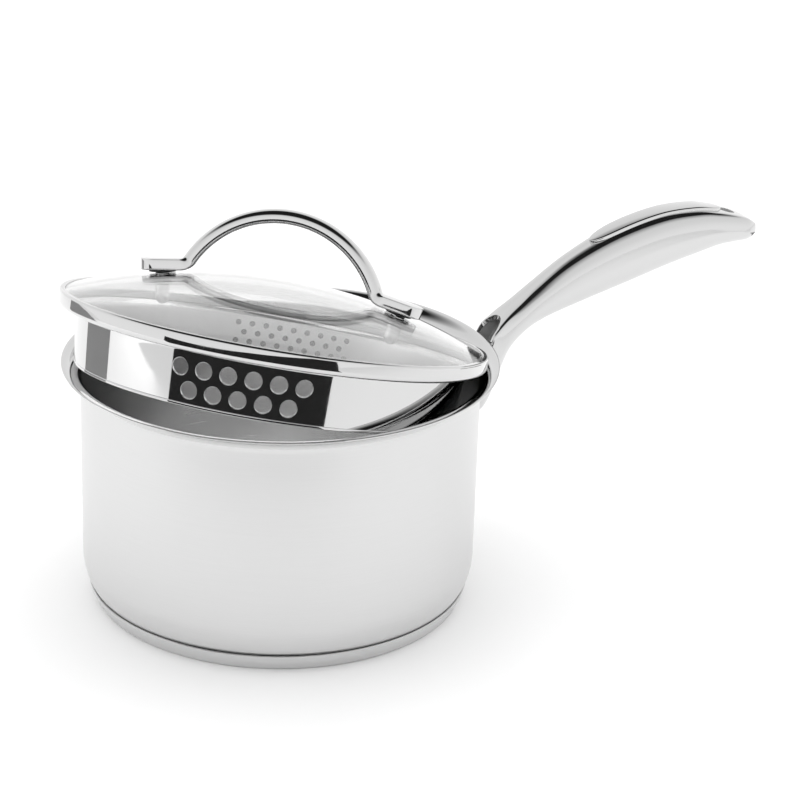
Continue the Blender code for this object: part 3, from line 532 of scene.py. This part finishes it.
def panelMesh(stations):  # long raised panel with rounded edges, left bare
    middle = (grip["panelStart"] + grip["panelEnd"]) / 2
    halfLength = (grip["panelEnd"] - grip["panelStart"]) / 2
    rise, count = grip["panelRise"], grip["panelSteps"]
    loops = []
    for i in range(count + 1):
        share = -0.9985 * math.cos(math.pi * i / count)  # ends before the width is nothing
        top, low = crestAt(stations, middle + halfLength * share)
        up = (top - low).normalized()
        half = grip["panelWidth"] / 2 * math.sqrt(1 - abs(share) ** 6)
        edge = min(grip["panelEdge"], 0.45 * half)
        right = [(half, -1.0)] + arcPoints(half - edge, rise - edge, edge, 0, 90, 4)
        shape = right + [(-x, z) for x, z in reversed(right)]
        loops.append([top + up * (z * mm) + Vector((0.0, x * mm, 0.0)) for x, z in shape])
    return meshOf(skinned(loops))


def notchMesh():  # U-shaped opening in the top of the root
    half = grip["notchWidth"] / 2
    end = grip["notchReach"] - half
    plan = [(1.0, -half)] + arcPoints(end, 0.0, half, -90, 90, 24) + [(1.0, half)]
    heights = (grip["notchFloor"], grip["notchTop"])
    return meshOf(skinned([[gripPoint(x, rise, y) for x, y in plan] for rise in heights]))


def hangingHoleMesh(stations):  # upright hole, whose rounded edge follows the crest
    top = crestAt(stations, grip["holeReach"])[0]
    radius, edge, sides = grip["hole"] / 2, grip["holeEdge"], grip["holeSides"]
    slope = math.tan(math.radians(grip["holeSlope"]))
    outline = [(radius + 2.5, 6.0)] + arcPoints(radius + edge, 0.15, edge, 90, 180, 6)
    loops = []
    for r, z in outline + [(radius, -24.0)]:
        ring = [(r * math.cos(2 * math.pi * i / sides), r * math.sin(2 * math.pi * i / sides))
                for i in range(sides)]
        loops.append([top + Vector((x * mm, y * mm, z * mm - slope * x * mm * (z > -1)))
                      for x, y in ring])
    bm = skinned(loops)
    for face in bm.faces:
        face.material_index = 1  # the hole's wall isn't buffed
    return meshOf(bm)


def makePanHandle():
    stations = smoothCurve(grip["stations"], grip["steps"])
    outer = [gripSection(s, 0.0) for s in stations]
    inner = [gripSection(s, grip["wall"]) for s in stations if s[0] < grip["hollowEnd"]]
    bm = bmesh.new()
    skins = []
    for loops in (outer, inner):
        loops[0] = wrapRoot(loops[0])
        skins.append([[bm.verts.new(p) for p in loop] for loop in loops])
    for slot, rows in enumerate(skins):
        for near, far in zip(rows, rows[1:]):
            joinRows(bm, near, far, slot)
    joinRows(bm, skins[0][0], skins[1][0])
    for slot in (1, 0):
        bm.faces.new(skins[slot][-1]).material_index = slot
    whole = meshOf(bm)
    whole.materials.append(finishes["cast"])
    whole.materials.append(finishes["asCast"])
    whole = cutWith(whole, [panelMesh(stations)], "UNION")
    mesh = tidyMesh(cutWith(whole, [notchMesh(), hangingHoleMesh(stations)]), 30.0)
    placePiece("panHandle", mesh, "pan", ["pan_handle"])


makePanHandle()
print("pan handle made")


# lid: rim, glass and handle are made about the lid's own axis, then laid in the pan's mouth

lid = {
    "shift": 7.4, "height": 140.51, "lean": 15.3, "leanAzimuth": 36.1, "turn": -27.5, "steps": 256,
    "rimRadius": 107.1, "rimHeight": 7.4, "rimTop": 2.9, "rimUnder": -1.05, "sheet": 0.8,
    "rimRound": 1.3, "rollRound": 3.2, "bandRadius": 97.5, "bandTop": -2.5, "bandDepth": 28.0,
    "taper": 2.5, "hemHeight": 1.5, "hemWidth": 1.3, "hemRound": 0.3, "edgeRound": 0.4,
    "bandRings": 14,  # along the straight band, so that it shades evenly
}
lid["rollRadius"] = lid["rimRadius"] - lid["rollRound"]
lid["slope"] = math.atan2(lid["taper"], lid["bandDepth"] - lid["hemHeight"] + lid["bandTop"])
perforation = {
    "large": {"diameter": 7.8, "pitch": 11.8, "middle": -90.4, "sides": 40, "flare": 0.7,
              "rows": [(-9.8, 6), (-20.2, 5)]},
    "small": {"diameter": 3.1, "pitch": 7.55, "middle": 90.0, "sides": 20, "flare": 0.2,
              "rows": [(-6.9, 9), (-11.9, 8), (-16.9, 9)]},
}


def lidPose():
    low = math.radians(lid["leanAzimuth"])
    spot = Vector((-lid["shift"] * math.cos(low), -lid["shift"] * math.sin(low), lid["height"])) * mm
    axis = Vector((-math.sin(low), math.cos(low), 0.0))
    lean = Matrix.Rotation(math.radians(lid["lean"]), 4, axis)
    return Matrix.Translation(spot) @ lean @ Matrix.Rotation(math.radians(lid["turn"]), 4, "Z")


def laid(mesh):
    mesh.transform(lidPose())
    return mesh


def evenNormals(mesh, ruleNormal):  # the exact normals of the shape, so that holes leave no ripple
    near = math.cos(math.radians(12.0))
    kept = [corner.vector.copy() for corner in mesh.corner_normals]
    for face in mesh.polygons:
        for corner in face.loop_indices:
            exact = ruleNormal(mesh.vertices[mesh.loops[corner].vertex_index].co, face.normal)
            if exact is not None and exact.dot(face.normal) > near:
                kept[corner] = exact
    mesh.normals_split_custom_set(kept)


def bandNormal(point, facing):
    if not (-lid["bandDepth"] + lid["hemHeight"]) * mm <= point.z <= lid["bandTop"] * mm:
        return None
    outward = Vector((point.x, point.y, 0.0)).normalized() * math.cos(lid["slope"])
    normal = outward - Vector((0.0, 0.0, math.sin(lid["slope"])))
    return normal if normal.dot(facing) > 0 else -normal


def bandLine(start, end):
    count = lid["bandRings"]
    return [tuple(a + (b - a) * i / count for a, b in zip(start, end)) for i in range(count + 1)]


def rimProfile():
    top, sheet, under, corner = lid["rimHeight"], lid["sheet"], lid["rimUnder"], lid["rimRound"]
    outX, inX = lid["rimRadius"], lid["rimRadius"] - lid["rimTop"]
    rollX, rollZ, roll = lid["rollRadius"], under + lid["rollRound"], lid["rollRound"]
    bandX, bandTop, edge, hem = lid["bandRadius"], lid["bandTop"], lid["edgeRound"], lid["hemRound"]
    bend = under - bandTop
    low = bandX - lid["taper"]
    hemIn = low - lid["hemWidth"]
    floor, hemTop = -lid["bandDepth"], -lid["bandDepth"] + lid["hemHeight"]
    line = arcPoints(low - edge, floor + edge, edge, -90, 0, 4)
    line += arcPoints(low - hem, hemTop - hem, hem, 0, 60, 3)
    line += bandLine((low, hemTop + 0.1), (bandX, bandTop))
    line += arcPoints(bandX + bend, bandTop, bend, 180, 90, 6)[1:]
    line += arcPoints(rollX, rollZ, roll, -90, 0, 16) + [(outX, (rollZ + top - corner) / 2)]
    line += arcPoints(outX - corner, top - corner, corner, 0, 90, 8)
    line += arcPoints(inX + edge, top - edge, edge, 90, 180, 4) + [(inX, top - sheet)]
    line += arcPoints(outX - corner, top - corner, corner - sheet, 90, 0, 6)
    line += arcPoints(rollX, rollZ, roll - sheet, 0, -90, 8) + [(bandX + sheet, under + sheet)]
    line += bandLine((bandX - sheet, bandTop), (low - sheet, hemTop))
    line += arcPoints(hemIn + hem, hemTop - hem, hem, 90, 180, 3)
    return line + arcPoints(hemIn + edge, floor + edge, edge, 180, 270, 4)[:-1]


def punchProfile(holes):  # rounds the hole's outer edge a little, as a punch does
    radius, flare = holes["diameter"] / 2, holes["flare"]
    edge = arcPoints(radius + flare, 0.06 - flare, flare, 90, 180, 5)
    return [(0.0, -6.0), (radius, -6.0)] + edge[::-1] + [(radius + flare, 6.0), (0.0, 6.0)]


def makeRim():
    punching = punchTree()
    fall = math.tan(lid["slope"])
    mesh = turned(rimProfile(), "mirror", lid["steps"], closed=True)
    punches = []
    for holes in perforation.values():
        punch = turned(punchProfile(holes), "mirror", holes["sides"])
        for height, count in holes["rows"]:
            radius = lid["bandRadius"] - (lid["bandTop"] - height) * fall
            punches.append(runTree(punching, punch, {
                "Holes": count, "Pitch": holes["pitch"] * mm, "Row Height": height * mm,
                "Row Radius": radius * mm, "Middle Angle": math.radians(holes["middle"]),
                "Droop": -fall, "Finish": finishes["mirror"]}))
    mesh = tidyMesh(cutWith(mesh, punches))
    # the band's inner faces get a finish whose paler tone is painted light for the shaded hollow
    mesh.materials.append(finishes["bandInside"])
    for face in mesh.polygons:
        inward = facingOut(face) < -0.5 * face.center.xy.length
        if inward and face.center.z < lid["bandTop"] * mm:
            face.material_index = len(mesh.materials) - 1
    evenNormals(mesh, bandNormal)
    placePiece("strainerRim", laid(mesh), "lid", ["strainer_rim"])


glass = {
    "radius": 105.8, "under": 2.3, "thick": 4.0, "apex": 26.3, "edgeRound": 0.7, "holeRadius": 3.5,
    "holeSides": 32, "rings": 26, "sealWidth": 2.2,
}
glass["top"] = glass["under"] + glass["thick"]
glass["rise"] = glass["apex"] - glass["top"]
glass["sphere"] = (glass["radius"] ** 2 + glass["rise"] ** 2) / (2 * glass["rise"])


def glassHeight(radius):
    return glass["apex"] - glass["sphere"] + math.sqrt(glass["sphere"] ** 2 - radius ** 2)


stud = {"spread": 118.6, "lean": 9.5, "diameter": 4.0, "fit": 0.3, "gap": 0.3}
stud["height"] = glassHeight(stud["spread"] / 2)
stud["bore"] = stud["diameter"] / 2 + stud["fit"]


def drills(radius, low, high, finish, sides):  # one for each stud, leaning with it
    made = []
    for side in (-1, 1):
        drill = turned([(0.0, low), (radius, low), (radius, high), (0.0, high)], finish, sides)
        spot = Matrix.Translation(Vector((side * stud["spread"] / 2, 0.0, stud["height"])) * mm)
        drill.transform(spot @ Matrix.Rotation(side * math.radians(stud["lean"]), 4, "Y"))
        made.append(drill)
    return made


def glassNormal(point, facing):
    centre = Vector((0.0, 0.0, (glass["apex"] - glass["sphere"]) * mm))
    if facing.z < 0:
        centre.z -= glass["thick"] * mm
    normal = (point - centre).normalized()
    return normal if facing.z > 0 else -normal


def makeGlass():
    edge, thick, edgeX = glass["edgeRound"], glass["thick"], glass["radius"] - glass["edgeRound"]
    rings = [glass["radius"] * i / glass["rings"] for i in range(glass["rings"])]
    line = [(r, glassHeight(r)) for r in rings]
    line += arcPoints(edgeX, glass["top"] - edge, edge, 80, 0, 6)
    line += arcPoints(edgeX, glass["under"] + edge, edge, 0, -90, 6)
    line += [(r, glassHeight(r) - thick) for r in reversed(rings)]
    mesh = turned(line, "glass", lid["steps"])
    holes = drills(glass["holeRadius"], -9.0, 5.0, "glass", glass["holeSides"])
    mesh = tidyMesh(cutWith(mesh, holes))
    evenNormals(mesh, glassNormal)
    placePiece("lidGlass", laid(mesh), "lid", ["lid_glass"])
    # seal ring whose top follows the glass
    low = lid["rimUnder"] + lid["sheet"] + stud["gap"]
    outer, inner = lid["rollRadius"], lid["rollRadius"] - glass["sealWidth"]
    room = thick + stud["gap"]
    line = [(inner, low), (outer, low)] + [(x, glassHeight(x) - room) for x in (outer, inner)]
    seal = turned(line, "milky", lid["steps"], closed=True)
    placePiece("glassSeal", laid(seal), "lid", ["glass_seal"])


makeRim()
makeGlass()
print("rim and glass made")


# fixings through the glass, the same at both feet

fixing = {
    "gasketDiameter": 13.3, "gasketThick": 0.7, "gasketEdge": 0.25, "sleeveWall": 0.9,
    "padDiameter": 10.0, "padThick": 1.0, "padEdge": 0.3,
    "washerDiameter": 9.0, "washerThick": 0.5, "washerEdge": 0.15,
    "nutDiameter": 6.9, "nutLength": 9.0, "nutEdge": 0.4,
    "studInNut": 0.6,  # share of the nut's length
    "studInFoot": 2.9, "steps": 48,
}


def seatRoom(radius):  # room over the glass for a flat ring on the leaning stud
    slope = math.asin(stud["spread"] / 2 / glass["sphere"]) - math.radians(stud["lean"])
    return stud["gap"] + radius * math.tan(abs(slope))


def footUnderside():
    return seatRoom(fixing["gasketDiameter"] / 2) + fixing["gasketThick"] + stud["gap"]


def flatRing(name, top):  # a pad or washer with rounded outer edges
    outer, low, edge = fixing[name + "Diameter"] / 2, top - fixing[name + "Thick"], fixing[name + "Edge"]
    line = [(stud["bore"], low)] + arcPoints(outer - edge, low + edge, edge, -90, 0, 4)
    return line + arcPoints(outer - edge, top - edge, edge, 0, 90, 4) + [(stud["bore"], top)]


def makeFixings():
    pairing = fixingTree()
    gap, bore, shank = stud["gap"], stud["bore"], stud["diameter"] / 2
    padTop = -glass["thick"] - seatRoom(fixing["padDiameter"] / 2)
    washerTop = padTop - fixing["padThick"] - gap
    nutTop = washerTop - fixing["washerThick"] - gap
    tail = nutTop - fixing["studInNut"] * fixing["nutLength"]
    head = footUnderside() + fixing["studInFoot"]
    radius, sleeve = fixing["gasketDiameter"] / 2, bore + fixing["sleeveWall"]
    seat, thick, edge = seatRoom(radius), fixing["gasketThick"], fixing["gasketEdge"]
    collar = [(bore, padTop + gap), (sleeve, padTop + gap), (sleeve, seat)]
    collar += arcPoints(radius - edge, seat + edge, edge, -90, 0, 3)
    collar += arcPoints(radius - edge, seat + thick - edge, edge, 0, 90, 3)
    collar += [(bore, seat + thick)]
    nut, edge = fixing["nutDiameter"] / 2, fixing["nutEdge"]
    cap = [(bore, nutTop)] + arcPoints(nut - edge, nutTop - edge, edge, 90, 0, 4)
    cap += arcPoints(0.0, nutTop - fixing["nutLength"] + nut, nut, 0, -90, 12)
    cap += [(0.0, tail - gap), (bore, tail - gap)]
    rod = [(0.0, tail), (shank, tail), (shank, head), (0.0, head)]
    shapes = {
        "footGaskets": (collar, True, "black", "foot_gasket", "black_silicone"),
        "glassPads": (flatRing("pad", padTop), True, "milky", "glass_pad", "clear_silicone"),
        "nutWashers": (flatRing("washer", washerTop), True, "mirror", "nut_washer", "polished_steel"),
        "lidStuds": (rod, False, "mirror", "lid_stud", "polished_steel"),
        "capNuts": (cap, False, "nut", "cap_nut", "polished_steel"),
    }
    for name, (line, closed, finish, node, slot) in shapes.items():
        one = turned(line, finish, fixing["steps"], closed)
        both = runTree(pairing, one, {
            "Spread": stud["spread"] * mm, "Height": stud["height"] * mm,
            "Lean": math.radians(stud["lean"]), "Finish": finishes[finish]})
        placePiece(name, laid(tidyMesh(both)), "lid", [node + "_left", node + "_right"])


makeFixings()
print("fixings made")


# lid handle: a bow that bends into two flat feet

bow = {
    "radius": 51.5, "apex": 58.5, "thick": 7.0, "width": 12.2, "fillet": 6.0, "footThick": 5.8,
    "footWidth": 14.0, "footLength": 10.8, "bowSteps": 48, "bendSteps": 12, "footSteps": 6,
    "endSteps": 12, "endSweep": 87.0, "drillStart": 2.0, "drillSides": 24,
    # right half of both cross-sections, underside to top, as shares of half the width and
    # of the thickness
    "bowShape": [(0.0, 0.0), (0.5, 0.0), (0.8, 0.01), (0.95, 0.09), (1.0, 0.3), (0.99, 0.6),
                 (0.84, 0.82), (0.52, 0.95), (0.18, 1.0), (0.0, 1.0)],
    "footShape": [(0.0, 0.0), (0.5, 0.0), (0.9, 0.0), (0.985, 0.05), (1.0, 0.18), (1.0, 0.8),
                  (0.93, 0.95), (0.52, 0.99), (0.18, 1.0), (0.0, 1.0)],
}


def bowPath():  # reach, height, outward angle and how far it has become foot, from the crown down
    slope = math.radians(stud["lean"])
    sine, cosine = math.sin(slope), math.cos(slope)
    radius, fillet = bow["radius"], bow["fillet"]
    lift = footUnderside() + bow["footThick"] / 2
    footX = stud["spread"] / 2 + lift * sine
    footZ = stud["height"] + lift * cosine
    centreZ = bow["apex"] - radius
    # the bend touches the foot's line from above and the bow from outside
    lineX = footX + fillet * sine
    awayZ = footZ + fillet * cosine - centreZ
    along = lineX * cosine - awayZ * sine
    back = along - math.sqrt(along ** 2 - (lineX ** 2 + awayZ ** 2 - (radius + fillet) ** 2))
    bendX = lineX - back * cosine
    bendZ = awayZ + centreZ + back * sine
    meet = math.atan2(bendZ - centreZ, bendX)
    rows = []
    for i in range(bow["bowSteps"] + 1):
        angle = math.pi / 2 + (meet - math.pi / 2) * i / bow["bowSteps"]
        rows.append((radius * math.cos(angle), centreZ + radius * math.sin(angle), angle, 0.0))
    first, last = meet + math.pi, 1.5 * math.pi - slope
    for i in range(1, bow["bendSteps"] + 1):
        share = i / bow["bendSteps"]
        angle = first + (last - first) * share
        x, z = bendX + fillet * math.cos(angle), bendZ + fillet * math.sin(angle)
        rows.append((x, z, angle - math.pi, share))
    start = rows[-1][0]
    end = footX + bow["footLength"] * cosine
    straight = end - bow["footWidth"] / 2
    count = bow["footSteps"]
    reaches = [start + (straight - start) * i / count for i in range(1, count + 1)]
    for i in range(1, bow["endSteps"] + 1):
        turn = math.radians(bow["endSweep"] * i / bow["endSteps"])
        reaches.append(straight + (end - straight) * math.sin(turn))
    for reach in reaches:
        rows.append((reach, footZ - (reach - footX) * math.tan(slope), math.pi / 2 - slope, 1.0))
    return rows, straight, end


def bowSection(row, straight, end):
    reach, height, angle, share = row
    settle = share * share * (3 - 2 * share)
    thick = bow["thick"] + (bow["footThick"] - bow["thick"]) * settle
    width = bow["width"] + (bow["footWidth"] - bow["width"]) * settle
    if reach > straight:
        width *= math.sqrt(max(0.0, 1 - ((reach - straight) / (end - straight)) ** 2))
    mixed = []
    for (bowX, bowZ), (footX, footZ) in zip(bow["bowShape"], bow["footShape"]):
        mixed.append(((bowX + (footX - bowX) * settle) * width / 2,
                      (bowZ + (footZ - bowZ) * settle - 0.5) * thick))
    right = smoothCurve(mixed, 3)
    shape = right + [(-x, z) for x, z in reversed(right[1:-1])]
    out = Vector((math.cos(angle), 0.0, math.sin(angle)))
    return [(Vector((reach, x, height)) + out * z) * mm for x, z in shape]


def makeLidHandle():
    rows, straight, end = bowPath()
    half = [bowSection(row, straight, end) for row in rows]
    other = [[Vector((-p.x, p.y, p.z)) for p in loop] for loop in half[:0:-1]]
    mesh = meshOf(skinned(other + half), 40.0)
    low = footUnderside()
    high = low + fixing["studInFoot"] + stud["gap"]
    mesh = cutWith(mesh, drills(stud["bore"], low - bow["drillStart"], high, "mirror", bow["drillSides"]))
    mesh.materials.clear()
    mesh.materials.append(finishes["mirror"])
    placePiece("lidHandle", laid(tidyMesh(mesh, 40.0)), "lid", ["lid_handle"])


makeLidHandle()
print("lid handle made")


# solids that stay as the model has them, and only get a finish

for name, finish in {"heat_disc": "core", "handle_bracket": "pressed"}.items():
    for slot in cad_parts[name].material_slots:
        slot.material = finishes[finish]
print("carried-over solids dressed")


# studio: pale floor, soft boxes, and cards that only mirror images show

studio = {
    "floorRadius": 2.6, "floorTones": ("#FBFBFB", "#FDFDFD"), "roomWhite": "#FFFFFF", "ambient": 1.0,
    "roomBrightness": 1.25, "cameraAzimuth": 250.7,
    # what mirror images show of the room at heights in degrees over the horizon
    "room": [(0.0, "#F4F4F4"), (12.0, "#EEEEEE"), (24.0, "#E6E6E6"), (34.0, "#E0E0E0"),
             (49.0, "#1E1E1E")],
    # azimuth from the camera's side, height and distance of the middle, width, height, brightness
    "boxes": {"leftBox": (-84.0, 0.45, 1.25, 0.9, 0.9, 1.2), "rightBox": (100.0, 0.60, 1.5, 0.8, 1.0, 0.7),
              "backBox": (180.0, 0.75, 1.5, 1.4, 0.7, 0.5)},
    "topBox": {"spot": (0.02, 0.15, 1.35), "size": (1.5, 1.1), "brightness": 0.9},
    "aimHeight": 0.08,  # of the point that the boxes face
    # from and to azimuth, distance, bottom, top, colour
    "cards": {"blackCard": (-52.0, 28.5, 0.50, 0.0, 0.21, "#141414"),
              "greyCard": (-122.0, -96.0, 0.50, 0.0, 0.13, "#909090"),
              "sideCard": (104.0, 132.0, 0.50, 0.0, 0.06, "#8C8C8C")},
    "cardSteps": 24,
}


def makeFloor():
    material, tree, shader, place = newMaterial("matteWhiteFloor", {"Roughness": 0.85})
    dark, pale = (hexColour(tone) for tone in studio["floorTones"])
    grain = addNode(tree, "ShaderNodeTexNoise", {"Scale": 6.0, "Detail": 2.0}, {"Vector": place})
    tone = addNode(tree, "ShaderNodeMix", {6: dark, 7: pale}, {0: grain}, data_type="RGBA")
    linkTo(tree, shader, {"Base Color": tone.outputs[2]})
    bm = bmesh.new()
    bmesh.ops.create_circle(bm, cap_ends=True, segments=96, radius=studio["floorRadius"])
    mesh = meshOf(bm)
    mesh.materials.append(material)
    addObject("floor", mesh)


def makeCards():  # bent cards round the object, which only mirror images show
    middle, steps = math.radians(studio["cameraAzimuth"]), studio["cardSteps"]
    for name, (first, last, distance, bottom, top, colour) in studio["cards"].items():
        rows = []
        bm = bmesh.new()
        for i in range(steps + 1):
            angle = middle + math.radians(first + (last - first) * i / steps)
            x, y = distance * math.cos(angle), distance * math.sin(angle)
            rows.append((bm.verts.new((x, y, bottom)), bm.verts.new((x, y, top))))
        for (a, b), (c, d) in zip(rows, rows[1:]):
            bm.faces.new((a, c, d, b))
        mesh = meshOf(bm)
        mesh.materials.append(newMaterial(name, {"Roughness": 0.9, "Base Color": hexColour(colour)})[0])
        card = addObject(name, mesh)
        card.visible_camera = False
        card.visible_diffuse = False
        card.visible_shadow = False
        card.visible_transmission = False


def areaLight(name, spot, size, brightness):
    light = bpy.data.lights.new(name, "AREA")
    light.shape = "RECTANGLE"
    light.size, light.size_y = size
    light.energy = brightness * math.pi * size[0] * size[1]
    lamp = addObject(name, light)
    aim = (Vector((0.0, 0.0, studio["aimHeight"])) - spot).to_track_quat("-Z", "Y")
    lamp.matrix_world = Matrix.Translation(spot) @ aim.to_matrix().to_4x4()
    lamp.visible_glossy = False  # mirror images show the room and the cards instead


def makeLights():
    for name, (azimuth, height, distance, width, tall, brightness) in studio["boxes"].items():
        angle = math.radians(studio["cameraAzimuth"] + azimuth)
        spot = Vector((distance * math.cos(angle), distance * math.sin(angle), height))
        areaLight(name, spot, (width, tall), brightness)
    top = studio["topBox"]
    areaLight("topBox", Vector(top["spot"]), top["size"], top["brightness"])


def makeWorld():  # mirror images see a pale room under a dark ceiling, all else an even white
    world = bpy.data.worlds.new("studioRoom")
    world.use_nodes = True
    bpy.context.scene.world = world
    tree = world.node_tree
    path = addNode(tree, "ShaderNodeLightPath")
    way = addNode(tree, "ShaderNodeTexCoord")
    parts = addNode(tree, "ShaderNodeSeparateXYZ", links={0: way.outputs["Generated"]})
    tone = addNode(tree, "ShaderNodeValToRGB", links={0: parts.outputs[2]})
    stops = tone.color_ramp.elements
    stops.remove(stops[1])
    for height, colour in studio["room"][1:]:
        stops.new(math.sin(math.radians(height))).color = hexColour(colour)
    stops[0].color = hexColour(studio["room"][0][1])
    mirrored = addNode(tree, "ShaderNodeBackground", {"Strength": studio["roomBrightness"]},
                       {"Color": tone})
    even = addNode(tree, "ShaderNodeBackground", {
        "Color": hexColour(studio["roomWhite"]), "Strength": studio["ambient"]})
    both = addNode(tree, "ShaderNodeMixShader",
                   links={0: path.outputs["Is Glossy Ray"], 1: even, 2: mirrored})
    linkTo(tree, tree.nodes["World Output"], {0: both})


def makeCamera():
    # fitted to the photograph: where it stands and how it is turned
    view = {"focalPixels": 2399, "imagePixels": 810, "sensor": 36, "spot": (0.0, -1.120, 0.558),
            "yaw": 3.20, "pitch": 22.17, "roll": 2.02, "turn": -19.3}
    yaw, pitch, roll = (math.radians(view[name]) for name in ("yaw", "pitch", "roll"))
    forward = Vector((math.sin(yaw) * math.cos(pitch), math.cos(yaw) * math.cos(pitch),
                      -math.sin(pitch)))
    right = Vector((math.cos(yaw), -math.sin(yaw), 0.0))
    up = right.cross(forward)
    rightRolled = math.cos(roll) * right + math.sin(roll) * up
    upRolled = math.cos(roll) * up - math.sin(roll) * right
    stand = Matrix((rightRolled, upRolled, -forward)).transposed().to_4x4()
    data = bpy.data.cameras.new("camera")
    data.lens = view["focalPixels"] / view["imagePixels"] * view["sensor"]
    data.sensor_width = view["sensor"]
    data.clip_start = 0.01
    camera = addObject("camera", data)
    spin = Matrix.Rotation(math.radians(view["turn"]), 4, "Z")
    camera.matrix_world = spin @ Matrix.Translation(view["spot"]) @ stand
    bpy.context.scene.camera = camera


makeFloor()
makeCards()
makeLights()
makeWorld()
makeCamera()
bpy.context.scene.view_settings.view_transform = "Standard"
print("studio made")
